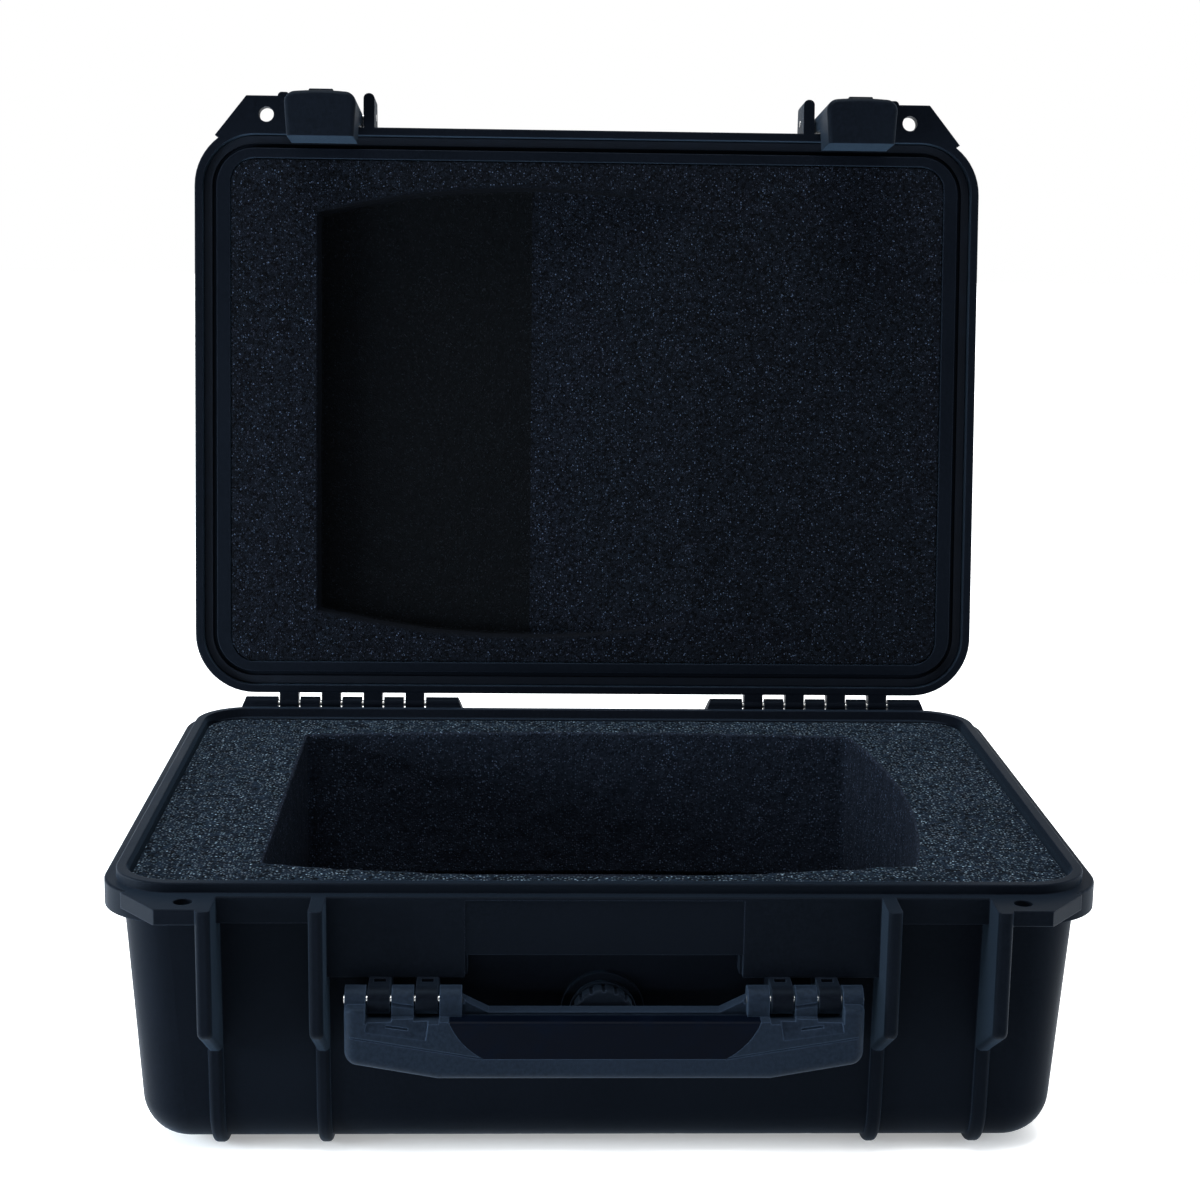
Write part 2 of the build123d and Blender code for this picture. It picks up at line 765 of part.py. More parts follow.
def seam_groove():
    """The mould's parting line on the handle's ends, which drops from each end to the grip."""
    seam_z = handle_axis_z - grip_drop
    run = handle_half - grip_bottom_half
    tilt = math.degrees(math.atan2(seam_end_rise, run))
    length = math.hypot(seam_end_rise, run)
    middle_x = (handle_half + grip_bottom_half) / 2
    groove = Box(length, 2 * seam_depth, seam_width)
    return Pos(middle_x, handle_front_y, seam_z + seam_end_rise / 2) * Rot(0, -tilt, 0) * groove


def grip_zone():
    """The space in the front of the handle that the soft grip fills, with curved ends."""
    top_z = handle_rail_z
    low_z = handle_axis_z - grip_drop
    middle_z = (top_z + low_z) / 2
    middle_x = (grip_top_half + grip_bottom_half) / 2 + grip_bulge
    right = ThreePointArc((grip_bottom_half, low_z), (middle_x, middle_z), (grip_top_half, top_z))
    left = ThreePointArc((-grip_top_half, top_z), (-middle_x, middle_z), (-grip_bottom_half, low_z))
    top = Line(right @ 1, left @ 0)
    bottom = Line(left @ 1, right @ 0)
    outline = Plane.XZ * make_face([right, top, left, bottom])
    start = handle_front_y - overlap
    return Pos(0, start, 0) * extrude(outline, grip_depth + overlap, dir=(0, 1, 0))


def make_handle():
    """The hard frame and the soft grip of the handle."""
    body = handle_body()
    zone = grip_zone()
    groove = box_between(
        (-inner_arm_x, handle_rail_y - grip_groove, handle_rail_z - grip_groove_depth),
        (inner_arm_x, handle_rail_y, handle_rail_z + overlap),
    )
    grip = (body & zone) - groove
    top_front = grip.edges().filter_by(Axis.X).filter_by(
        lambda edge: (edge @ 0.5).Z > handle_rail_z - overlap / 2 and (edge @ 0.5).Y < handle_front_y + overlap
    )
    grip = fillet(top_front, grip_rounding)
    frame = body - zone - groove - mirrored(end_recess()) - mirrored(seam_groove())
    return frame, grip


def valve_inner_seat():
    """The y of the flat seat inside the front wall, against which the valve's nut is tightened."""
    return -(tub_wall_y(valve_z) - wall) + valve_seat


def make_valve():
    """The purge valve: body, knob, O-ring and the nut inside the case."""
    seat = -(tub_wall_y(valve_z) + valve_boss_reach)
    inside = valve_inner_seat()
    stem_radius = valve_bore_radius - valve_stem_gap
    flange_front = seat - valve_flange
    body = along_y(0, valve_z, valve_flange_radius, flange_front, seat)
    body += along_y(0, valve_z, stem_radius, seat, inside + valve_nut_height + overlap)
    groove = Pos(0, seat, valve_z) * Rot(90, 0, 0) * Torus(o_ring_centre, o_ring_radius)
    body -= groove
    spindle_length = valve_knob_height / 2
    body += along_y(0, valve_z, valve_spindle_radius, flange_front - spindle_length, flange_front)
    knob_back = flange_front - valve_knob_gap
    knob_front = knob_back - valve_knob_height
    knob = along_y(0, valve_z, valve_knob_radius, knob_front, knob_back)
    knob = fillet(knob.edges().group_by(Axis.Y)[0], valve_knob_rounding)
    for index in range(valve_knob_ribs):
        angle = 2 * math.pi * index / valve_knob_ribs
        knob -= along_y(
            valve_knob_radius * math.cos(angle),
            valve_z + valve_knob_radius * math.sin(angle),
            valve_knob_rib_radius,
            knob_front - overlap,
            knob_back + overlap,
        )
    knob -= box_between(
        (-valve_knob_radius / 2, knob_front - overlap, valve_z - valve_slot_width / 2),
        (valve_knob_radius / 2, knob_front + valve_slot_depth, valve_z + valve_slot_width / 2),
    )
    socket = valve_spindle_radius + running_gap
    knob -= along_y(0, valve_z, socket, flange_front - spindle_length - valve_knob_gap, knob_back + overlap)
    ring_radius = o_ring_radius - running_gap
    ring = Pos(0, seat, valve_z) * Rot(90, 0, 0) * Torus(o_ring_centre, ring_radius)
    ring = ring & box_between(
        (-2 * o_ring_centre, seat - 2 * o_ring_radius, valve_z - 2 * o_ring_centre),
        (2 * o_ring_centre, seat, valve_z + 2 * o_ring_centre),
    )
    nut_outline = Plane.XZ * RegularPolygon(valve_nut_radius, 6)
    nut = Pos(0, inside, valve_z) * extrude(nut_outline, -valve_nut_height)
    nut -= along_y(0, valve_z, valve_bore_radius, inside - overlap, inside + valve_nut_height + overlap)
    return body, knob, ring, nut


def bowed_outline(left, right, left_half, right_half, low_bow, high_bow, right_bow):
    """A pocket outline with a straight left side, whose other sides bow outwards."""
    middle = (right - left) / 2
    low = ThreePointArc((-left, -left_half), (middle, -(left_half + low_bow)), (right, -right_half))
    high = ThreePointArc((right, right_half), (middle, left_half + high_bow), (-left, left_half))
    side = Line(high @ 1, low @ 0)
    if right_bow > 0:
        end = ThreePointArc(low @ 1, (right + right_bow, 0), high @ 0)
    else:
        end = Line(low @ 1, high @ 0)
    return make_face([low, end, high, side])


def make_base_foam():
    """The foam in the base: a block with the pocket cut through, and the pad under it."""
    top = rim_height - foam_below_rim
    filling = tub_cavity(foam_gap, top)
    filling &= box_between((-half_x, -half_y, 0), (half_x, half_y, top))
    pad = filling & box_between((-half_x, -half_y, 0), (half_x, half_y, pad_top))
    block = filling - box_between((-half_x, -half_y, 0), (half_x, half_y, pad_top))
    outline = bowed_outline(
        pocket_left, pocket_right, pocket_half, pocket_half, pocket_front_bow, pocket_back_bow, pocket_right_bow
    )
    block -= Pos(0, 0, pad_top - overlap) * extrude(outline, top - pad_top + 2 * overlap)
    inside = valve_inner_seat()
    block -= along_y(0, valve_z, nut_relief_radius, inside - 2 * overlap, inside + nut_relief_depth)
    return block, pad


def make_lid_foam():
    """The foam in the lid, closed, with its recess: a deep flat part and a ramp."""
    low = lid_z + foam_gap
    high = lid_top - wall - foam_gap
    block = lid_block(
        wall + foam_gap, flange_radius - lid_wall_inset_x - wall, lid_edge_radius - wall, lid_z, high
    )
    block &= box_between((-half_x, -half_y, low), (half_x, half_y, high + overlap))
    outline = bowed_outline(
        lid_recess_left,
        lid_recess_right,
        lid_recess_half,
        lid_recess_half + lid_recess_flare,
        lid_recess_bow,
        lid_recess_bow,
        0,
    )
    recess = Pos(0, 0, low) * extrude(outline, lid_recess_depth)
    ramp = [
        (-lid_recess_left - overlap, low - overlap),
        (lid_recess_right, low - overlap),
        (lid_recess_right, low),
        (-lid_recess_step, low + lid_recess_depth),
        (-lid_recess_left - overlap, low + lid_recess_depth),
    ]
    return block - (recess & front_plate(ramp, -half_y, half_y))


def swing_open(piece):
    """Turn a piece of the closed lid to where it stands in the open case."""
    return Pos(0, hinge_y, hinge_z) * Rot(-open_angle, 0, 0) * Pos(0, -hinge_y, -hinge_z) * piece


def hinge_pin_length():
    """The hinge pins stop short of the ends of the end knuckles."""
    spans = hinge_spans()
    return spans[-1][1] - spans[0][0] - 2 * end_knuckle_slope


def make_pieces():
    """Every piece by name, in case coordinates with the lid open."""
    pieces = {}
    pieces["base_shell"] = make_base_shell()
    pieces["base_foam"], pieces["base_floor_pad"] = make_base_foam()
    pieces["handle_frame"], pieces["handle_grip"] = make_handle()
    names = ("valve_body", "valve_knob", "valve_o_ring", "valve_nut")
    for name, solid in zip(names, make_valve()):
        pieces[name] = solid
    lid_pieces = {
        "lid_shell": make_lid_shell(),
        "lid_gasket": make_lid_gasket(),
        "lid_foam": make_lid_foam(),
        "latch_right_lever": make_latch_lever(),
        "latch_right_button": make_latch_button(),
        "latch_right_pin": rod(latch_x, latch_y, latch_z, latch_pin_radius, latch_pin_length),
    }
    for name in ("latch_right_lever", "latch_right_button", "latch_right_pin"):
        lid_pieces[name.replace("right", "left")] = mirror(lid_pieces[name], Plane.YZ)
    pin_middle = (handle_pin_end + inner_arm_x) / 2
    pin_length = handle_pin_end - inner_arm_x
    for side, word in ((1, "right"), (-1, "left")):
        pieces["hinge_pin_" + word] = rod(side * hinge_centre_x, hinge_y, hinge_z, hinge_pin_radius, hinge_pin_length())
        pieces["handle_pin_" + word] = rod(side * pin_middle, handle_y, handle_axis_z, handle_pin_radius, pin_length)
    for name, solid in lid_pieces.items():
        pieces[name] = swing_open(solid)
    return pieces


def main():
    os.makedirs("parts", exist_ok=True)
    pieces = make_pieces()
    boxes = [piece.bounding_box() for piece in pieces.values()]
    low_y = min(box.min.Y for box in boxes)
    high_y = max(box.max.Y for box in boxes)
    shift = -(low_y + high_y) / 2
    print("shift", round(shift, 4))
    print("box y", round(low_y, 3), round(high_y, 3), "z", round(max(box.max.Z for box in boxes), 3))
    for name, piece in pieces.items():
        export_step(Pos(0, shift, 0) * piece, "parts/" + name + ".step")


if __name__ == "__main__":
    main()
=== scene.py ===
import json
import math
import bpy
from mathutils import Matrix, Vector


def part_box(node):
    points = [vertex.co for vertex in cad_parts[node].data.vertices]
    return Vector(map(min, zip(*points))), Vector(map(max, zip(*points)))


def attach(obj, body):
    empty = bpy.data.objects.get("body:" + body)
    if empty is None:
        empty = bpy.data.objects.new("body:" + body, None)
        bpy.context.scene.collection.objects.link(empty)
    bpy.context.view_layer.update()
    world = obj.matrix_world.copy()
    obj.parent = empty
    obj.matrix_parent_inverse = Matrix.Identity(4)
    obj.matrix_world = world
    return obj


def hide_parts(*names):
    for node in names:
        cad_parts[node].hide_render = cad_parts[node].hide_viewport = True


bl_info = {
    "name": "Defibrillator carry case",
    "version": (1, 0, 0),
    "blender": (4, 5, 0),
    "location": "3D View > Sidebar > Carry Case",
    "description": "Moulded plastic, steel, rubber and cut foam of an open carry case, on a pale stage",
    "category": "Object",
}

from collections import namedtuple

import bmesh
import bpy
import numpy as np
from bpy.props import FloatProperty, FloatVectorProperty, PointerProperty
from mathutils import Matrix, Vector, noise

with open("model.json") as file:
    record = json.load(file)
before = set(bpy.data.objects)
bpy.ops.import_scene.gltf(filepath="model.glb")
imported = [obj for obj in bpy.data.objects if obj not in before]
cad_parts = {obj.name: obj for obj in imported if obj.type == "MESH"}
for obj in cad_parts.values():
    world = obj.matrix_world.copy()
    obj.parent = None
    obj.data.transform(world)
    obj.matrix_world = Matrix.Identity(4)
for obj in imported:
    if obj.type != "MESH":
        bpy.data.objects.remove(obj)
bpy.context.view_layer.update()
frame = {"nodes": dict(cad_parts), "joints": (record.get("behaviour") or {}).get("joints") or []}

MM = 0.001
LID_HINGE = next(joint for joint in frame["joints"] if joint["name"] == "lid_hinge")
HINGE_PLACE = np.array(LID_HINGE["pos_m"])
OPEN_ANGLE = math.radians(LID_HINGE["range_deg"][1])


# ---------------------------------------------------------------- sizes and colours


def size(name, description, default):
    """A length in metres that can be changed in the sidebar."""
    return FloatProperty(name=name, description=description, default=default, unit="LENGTH", precision=5)


def colour(name, description, default):
    """A colour that can be changed in the sidebar."""
    return FloatVectorProperty(
        name=name, description=description, default=default, size=3, min=0.0, max=1.0, subtype="COLOR"
    )


class CASE_PG_finish(bpy.types.PropertyGroup):
    """Colours and grain sizes of the case's materials."""

    shell: colour("Shell plastic", "Blue-black polypropylene of the base and lid", (0.0018, 0.0023, 0.0037))
    latch: colour("Latch plastic", "Plastic of the latches", (0.0016, 0.0021, 0.0036))
    handle: colour("Handle plastic", "Plastic of the handle frame", (0.0054, 0.0083, 0.0140))
    valve: colour("Valve plastic", "Plastic of the pressure valve", (0.0024, 0.0032, 0.0052))
    grip: colour("Grip rubber", "Soft insert of the handle", (0.0003, 0.0010, 0.0030))
    seal: colour("Seal rubber", "Lid seal and valve ring", (0.0034, 0.0048, 0.0078))
    steel: colour("Steel", "Hinge, handle and latch pins", (0.50, 0.50, 0.49))
    foam: colour("Foam", "Charcoal foam", (0.0130, 0.0180, 0.0288))
    shell_grain: size("Shell grain", "Width of one grain of the moulded texture", 0.00045)
    latch_grain: size("Latch grain", "Width of one grain on latches and handle", 0.00055)
    lid_cell: size("Lid foam cell", "Width of one cell of the lid's foam", 0.0013)
    base_cell: size("Base foam cell", "Width of one cell of the base's foam", 0.0017)


class CASE_PG_foam(bpy.types.PropertyGroup):
    """Sizes of the cut foam, measured from the middle of the case."""

    pocket_left: size("Pocket left", "Middle of the case to the pocket's left side", 0.17397)
    pocket_right: size("Pocket right", "Middle of the case to the pocket's right corners", 0.16297)
    pocket_half: size("Pocket half width", "Middle of the case to the pocket's corners", 0.12647)
    pocket_front_bow: size("Pocket front bow", "How far the front side bows out", 0.019)
    pocket_back_bow: size("Pocket back bow", "How far the back side bows out", 0.0075)
    pocket_right_bow: size("Pocket right bow", "How far the right end bows out", 0.014)
    recess_left: size("Recess left", "Middle of the lid to the recess's left side", 0.1726)
    recess_right: size("Recess right", "Middle of the lid to the end of the ramp", 0.070)
    recess_half: size("Recess half width", "Middle of the lid to the recess's left corners", 0.127)
    recess_flare: size("Recess flare", "How much wider the recess is at the ramp's end", 0.005)
    recess_bow: size("Recess bow", "How far both long sides bow out", 0.017)
    recess_depth: size("Recess depth", "Depth of the recess's flat part", 0.027)
    recess_step: size("Ramp start", "Middle of the lid to the foot of the ramp", 0.036)
    corner: size("Corner radius", "Radius of the foam's upright corners at the rim", 0.0205)
    lid_corner: size("Lid corner radius", "Radius of the lid foam's corners", 0.0155)
    draft: FloatProperty(
        name="Draft", description="Slope of the tub's walls", default=math.radians(3.3), subtype="ANGLE"
    )
    cut_edge: size("Cut edge", "Softness of the edges that were cut", 0.0016)
    rim_edge: size("Rim edge", "Softness of the edges along the rims", 0.0010)
    pad_edge: size("Pad edge", "Radius of the floor pad's lower edge", 0.020)
    lid_edge: size("Lid edge", "Radius of the lid foam's far edge", 0.012)
    clear: size("Clearance", "Gap between the foam and the shells", 0.00005)
    pad_clear: size("Pad clearance", "Gap round the floor pad", 0.00015)
    base_waves: size("Base waves", "Unevenness of the base foam's faces", 0.0009)
    lid_waves: size("Lid waves", "Unevenness of the lid foam's face", 0.0008)
    pad_waves: size("Pad waves", "Unevenness of the floor pad", 0.00014)
    nut_room: size("Nut room", "Room round the valve's nut", 0.0025)
    nut_gap: size("Nut gap", "Gap between the valve's nut and the dented foam", 0.001)


class CASE_PG_stage(bpy.types.PropertyGroup):
    """Camera, lamps, floor and background."""

    camera_place: FloatVectorProperty(
        name="Camera place",
        description="Where the camera stands",
        default=(-0.04492, -1.27567, 0.51354),
        size=3,
        subtype="TRANSLATION",
    )
    camera_turn: FloatProperty(
        name="Camera turn", description="Turn to the left", default=math.radians(-2.171), subtype="ANGLE"
    )
    camera_dip: FloatProperty(
        name="Camera dip", description="Tilt below level", default=math.radians(11.628), subtype="ANGLE"
    )
    camera_roll: FloatProperty(
        name="Camera roll", description="Roll about the line of sight", default=math.radians(0.841), subtype="ANGLE"
    )
    lens: FloatProperty(name="Lens", description="Focal length", default=67.86, subtype="DISTANCE_CAMERA")
    floor_size: size("Floor size", "Length of the floor's sides", 14.0)
    floor_colour: colour("Floor colour", "Matt floor under the case", (0.80, 0.80, 0.80))
    floor_lift: FloatProperty(name="Floor lift", description="White added to what shows of the floor", default=0.92)
    contact_reach: size("Contact shadow", "How far the dark of the contact reaches on the floor", 0.015)
    above_strength: FloatProperty(name="Light above", description="Strength of the even light", default=4.6)
    above_spread: FloatProperty(
        name="Spread above", description="Softness of the even light", default=math.radians(35), subtype="ANGLE"
    )
    sky_colour: colour("Room colour", "Soft light of the room", (0.92, 0.96, 1.0))
    sky_strength: FloatProperty(name="Room strength", description="Strength of the soft light", default=0.05)


# ---------------------------------------------------------------- node materials


class Finish:
    """A node material that is put together one node at a time."""

    def __init__(self, name, preview):
        self.material = bpy.data.materials.new(name)
        self.material.use_nodes = True
        self.material.diffuse_color = (*preview, 1.0)
        self.tree = self.material.node_tree
        self.tree.nodes.clear()
        self.place = self.node("ShaderNodeTexCoord").outputs["Object"]

    def node(self, kind, inputs=None, **options):
        """A new node; inputs are numbers or the outputs of other nodes."""
        made = self.tree.nodes.new(kind)
        for name, value in options.items():
            setattr(made, name, value)
        for name, value in (inputs or {}).items():
            socket = made.inputs[name]
            if isinstance(value, bpy.types.NodeSocket):
                self.tree.links.new(value, socket)
            else:
                socket.default_value = value
        return made

    def noise(self, width, detail=2.0, roughness=0.5, stretch=None):
        """Noise whose features are about as wide as width, in metres."""
        place = self.place
        if stretch:
            place = self.node("ShaderNodeMapping", {"Vector": place, "Scale": stretch}).outputs["Vector"]
        return self.node(
            "ShaderNodeTexNoise",
            {"Vector": place, "Scale": 1.0 / width, "Detail": detail, "Roughness": roughness},
        ).outputs["Fac"]

    def cells(self, width):
        """Cells about as wide as width: the node, for its distance and its colour."""
        return self.node("ShaderNodeTexVoronoi", {"Vector": self.place, "Scale": 1.0 / width})

    def ramp(self, value, low, high, to_low=0.0, to_high=1.0):
        """Value between low and high, spread over to_low and to_high."""
        return self.node(
            "ShaderNodeMapRange",
            {"Value": value, "From Min": low, "From Max": high, "To Min": to_low, "To Max": to_high},
            interpolation_type="SMOOTHSTEP",
        ).outputs["Result"]

    def join(self, first, second, operation="ADD"):
        """Two values in one: their sum, or their product with MULTIPLY."""
        return self.node("ShaderNodeMath", {0: first, 1: second}, operation=operation).outputs["Value"]

    def blend(self, share, first, second):
        """A colour between two colours."""
        made = self.node("ShaderNodeMix", {"Factor": share}, data_type="RGBA")
        for name, value in (("A", first), ("B", second)):
            socket = [s for s in made.inputs if s.name == name and s.type == "RGBA"][0]
            if isinstance(value, bpy.types.NodeSocket):
                self.tree.links.new(value, socket)
            else:
                socket.default_value = (*value[:3], 1.0)
        return [s for s in made.outputs if s.type == "RGBA"][0]

    def relief(self, height, depth, normal=None):
        """Surface relief of that depth in metres."""
        inputs = {"Height": height, "Distance": depth, "Strength": 1.0}
        if normal is not None:
            inputs["Normal"] = normal
        return self.node("ShaderNodeBump", inputs).outputs["Normal"]

    def edges(self, radius):
        """The normal of slightly rounded edges, and a mask that is 1 on them."""
        soft = self.node("ShaderNodeBevel", {"Radius": radius}, samples=4).outputs["Normal"]
        plain = self.node("ShaderNodeNewGeometry").outputs["Normal"]
        same = self.node("ShaderNodeVectorMath", {0: soft, 1: plain}, operation="DOT_PRODUCT").outputs["Value"]
        return soft, self.ramp(same, 0.995, 0.90)

    def surface(self, **inputs):
        """The shader, with inputs under their Blender names but for the spaces, and the finished material."""
        named = {key.replace("_", " "): value for key, value in inputs.items()}
        shader = self.node("ShaderNodeBsdfPrincipled", named)
        self.node("ShaderNodeOutputMaterial", {"Surface": shader.outputs["BSDF"]})
        return self.material


# Widths of what the plastics, rubber and steel show, in metres
WORN_AND_HIGHLIT_EDGE, RUBBER_EDGE, STEEL_EDGE = 0.9 * MM, 0.6 * MM, 0.4 * MM
CLOUD, RUBBED_SPOT, SCRATCH = 70 * MM, 16 * MM, 1.1 * MM
BLOOM, BLOOM_DEPTH = 12 * MM, 0.06 * MM
DRAWN_LINE, DRAWN_DEPTH, TARNISH = 0.35 * MM, 0.02 * MM, 6 * MM
FOAM_PATCH = 12 * MM

# Widths against the width of a grain: a plastic's speckle, a foam's dark cells and its lumps
SPECKLE, GROUND_CELL, LUMP = 3.6, 1.15, 3.2

# Each mark: how far it goes towards its own tone, and that tone against the plain colour
CLOUD_SHARE, CLOUD_TONE = 0.30, 1.5
RUBBED_SHARE, RUBBED_TONE = 0.22, 1.8
# Plastic edges are paler partly from wear and partly as a painted highlight along them
WORN_AND_HIGHLIT_SHARE, WORN_AND_HIGHLIT_TONE = 0.80, 4.6
BLOOM_SHARE, BLOOM_TONE = 0.5, 1.9
# Rubber edges are paler partly from wear and partly as a painted highlight along them
WORN_AND_HIGHLIT_RUBBER_SHARE, WORN_AND_HIGHLIT_RUBBER_TONE = 0.35, 2.2
TARNISH_SHARE, TARNISH_TONE = 0.55, 0.62

# The same for foam, as what full contrast adds to the plain tone
DARK_CELL, PALE_CELL, DUSKY_PATCH, GRAIN, GLINT = -0.75, 0.25, -0.5, 3.6, 9.0

# How much slower lines and scratches change along X than across
LINE_STRETCH, SCRATCH_STRETCH = (0.03, 1.0, 1.0), (0.06, 1.0, 1.0)

# What a dark plastic throws back: mostly the blue of the light
SHINE_TINT = (0.50, 0.75, 1.0, 1.0)
SHEEN_TINT = (0.40, 0.66, 1.0, 1.0)


def paler(shade, factor):
    """The same hue, brighter or darker."""
    return tuple(min(1.0, part * factor) for part in shade)


def moulded_plastic(name, shade, grain, grain_depth, roughness, gloss, mottle):
    """Satin moulded plastic: fine grain, mottled sheen, a few rubbed spots, and paler edges that are partly wear and
    partly a painted highlight.
    """
    finish = Finish(name, shade)
    soft, worn_and_highlit = finish.edges(WORN_AND_HIGHLIT_EDGE)
    cloud = finish.noise(CLOUD, detail=3.0)
    speckle = finish.noise(grain * SPECKLE, detail=5.0, roughness=0.72)
    rubbed = finish.ramp(finish.noise(RUBBED_SPOT, detail=6.0, roughness=0.65), 0.60, 0.78)
    grain_noise = finish.noise(grain, detail=3.0, roughness=0.6)
    scratch = finish.ramp(finish.noise(SCRATCH, detail=4.0, stretch=SCRATCH_STRETCH), 0.66, 0.74)
    dark, pale = paler(shade, 1.0 - mottle * 1.6), paler(shade, 1.0 + mottle * 1.8)
    body = finish.blend(finish.ramp(speckle, 0.32, 0.68), dark, pale)
    body = finish.blend(finish.ramp(cloud, 0.35, 0.65, 0.0, CLOUD_SHARE), body, paler(shade, CLOUD_TONE))
    body = finish.blend(finish.join(rubbed, RUBBED_SHARE, "MULTIPLY"), body, paler(shade, RUBBED_TONE))
    # Paler edges: partly wear, partly a painted highlight
    body = finish.blend(finish.join(worn_and_highlit, WORN_AND_HIGHLIT_SHARE, "MULTIPLY"), body, paler(shade, WORN_AND_HIGHLIT_TONE))
    rough = finish.ramp(cloud, 0.3, 0.7, roughness - 0.05, roughness + 0.05)
    rough = finish.join(rough, finish.join(worn_and_highlit, -0.10, "MULTIPLY"))
    rough = finish.join(rough, finish.join(rubbed, -0.06, "MULTIPLY"))
    height = finish.join(grain_noise, finish.join(scratch, -0.35, "MULTIPLY"))
    return finish.surface(
        Base_Color=body,
        Roughness=rough,
        Specular_IOR_Level=gloss,
        Specular_Tint=SHINE_TINT,
        Sheen_Weight=0.050,
        Sheen_Roughness=0.45,
        Sheen_Tint=SHEEN_TINT,
        Normal=finish.relief(height, grain_depth, normal=soft),
    )


def soft_rubber(name, shade, grain, roughness, gloss):
    """Matt rubber: a dusty bloom over a fine grain."""
    finish = Finish(name, shade)
    soft, worn_and_highlit = finish.edges(RUBBER_EDGE)
    bloom = finish.ramp(finish.noise(BLOOM, detail=5.0, roughness=0.6), 0.45, 0.75)
    body = finish.blend(finish.join(bloom, BLOOM_SHARE, "MULTIPLY"), shade, paler(shade, BLOOM_TONE))
    # Paler edges: partly wear, partly a painted highlight
    body = finish.blend(finish.join(worn_and_highlit, WORN_AND_HIGHLIT_RUBBER_SHARE, "MULTIPLY"), body, paler(shade, WORN_AND_HIGHLIT_RUBBER_TONE))
    rough = finish.ramp(bloom, 0.0, 1.0, roughness, min(1.0, roughness + 0.12))
    height = finish.noise(grain, detail=3.0, roughness=0.55)
    return finish.surface(
        Base_Color=body,
        Roughness=rough,
        Specular_IOR_Level=gloss,
        Normal=finish.relief(height, BLOOM_DEPTH, normal=soft),
    )


def drawn_steel(name, shade):
    """Stainless rod: fine lines along its length and slight tarnish."""
    finish = Finish(name, shade)
    soft = finish.edges(STEEL_EDGE)[0]
    lines = finish.noise(DRAWN_LINE, detail=3.0, stretch=LINE_STRETCH)
    tarnish = finish.ramp(finish.noise(TARNISH, detail=4.0), 0.45, 0.70)
    body = finish.blend(finish.join(tarnish, TARNISH_SHARE, "MULTIPLY"), shade, paler(shade, TARNISH_TONE))
    rough = finish.join(finish.ramp(lines, 0.3, 0.7, 0.20, 0.36), finish.join(tarnish, 0.12, "MULTIPLY"))
    return finish.surface(
        Base_Color=body,
        Metallic=1.0,
        Roughness=rough,
        Normal=finish.relief(lines, DRAWN_DEPTH, normal=soft),
    )


def charcoal_foam(name, shade, cell, look):
    """Foam: dark cells of uneven tone, with pale grains on some of them."""
    contrast = look.contrast
    finish = Finish(name, shade)
    ground_cells, grains = finish.cells(cell * GROUND_CELL), finish.cells(cell)
    tone = finish.node("ShaderNodeSeparateColor", {"Color": ground_cells.outputs["Color"]}).outputs["Red"]
    picks = finish.node("ShaderNodeSeparateColor", {"Color": grains.outputs["Color"]}).outputs
    patch = finish.noise(FOAM_PATCH, detail=5.0, roughness=0.65)
    darkest = paler(shade, max(0.10, 1.0 + DARK_CELL * contrast))
    ground = finish.blend(tone, darkest, paler(shade, 1.0 + PALE_CELL * contrast))
    dusky = paler(shade, max(0.2, 1.0 + DUSKY_PATCH * contrast))
    ground = finish.blend(finish.ramp(patch, 0.30, 0.70, 0.0, 0.45), ground, dusky)
    red, green, blue = paler(shade, 1.0 + GRAIN * contrast)
    red, blue = red * (1.0 + look.warmth), blue * (1.0 - look.warmth)
    warm, cool = (red * 1.25, green * 0.98, blue * 0.95), (red * 0.85, green * 1.02, blue * 1.03)
    grain = finish.blend(picks["Blue"], warm, cool)
    spot = finish.ramp(grains.outputs["Distance"], 0.48, 0.22)
    share = finish.join(finish.ramp(picks["Red"], look.sparse, look.sparse + 0.55), spot, "MULTIPLY")
    body = finish.blend(share, ground, grain)
    bright = finish.join(finish.ramp(picks["Green"], 0.93, 0.97), spot, "MULTIPLY")
    glint = paler((red, green, blue), (1.0 + GLINT * contrast) / (1.0 + GRAIN * contrast))
    body = finish.blend(finish.join(bright, min(1.0, contrast), "MULTIPLY"), body, glint)
    height = finish.join(spot, finish.noise(cell * LUMP, detail=3.0))
    return finish.surface(
        Base_Color=body,
        Roughness=0.93,
        Specular_IOR_Level=0.03,
        Normal=finish.relief(height, look.relief),
    )


def wear(nodes, material):
    """Gives CAD nodes one material."""
    for name in nodes:
        node = frame["nodes"][name]
        if not node.material_slots:
            node.data.materials.append(material)
        for place in node.material_slots:
            place.material = material


def settings():
    """The finish, foam and stage settings of the open scene."""
    scene = bpy.context.scene
    return scene.carry_case_finish, scene.carry_case_foam, scene.carry_case_stage


# The plastics and rubbers. colour and grain name settings in the sidebar, tone brightens the colour, depth is the
# grain's relief, and mottle is how uneven the colour is
PlasticLook = namedtuple("PlasticLook", "colour tone grain depth roughness gloss mottle")
PLASTIC_LOOKS = {
    "case plastic": PlasticLook("shell", 1.0, "shell_grain", 0.05 * MM, 0.44, 0.017, 0.18),
    "latch plastic": PlasticLook("latch", 1.0, "latch_grain", 0.09 * MM, 0.52, 0.04, 0.26),
    "button plastic": PlasticLook("latch", 1.25, "shell_grain", 0.04 * MM, 0.42, 0.05, 0.18),
    "handle plastic": PlasticLook("handle", 1.0, "latch_grain", 0.10 * MM, 0.54, 0.04, 0.20),
    "valve plastic": PlasticLook("valve", 1.0, "shell_grain", 0.04 * MM, 0.44, 0.05, 0.18),
    "knob plastic": PlasticLook("valve", 1.15, "latch_grain", 0.06 * MM, 0.48, 0.05, 0.18),
}
RubberLook = namedtuple("RubberLook", "colour grain roughness gloss")
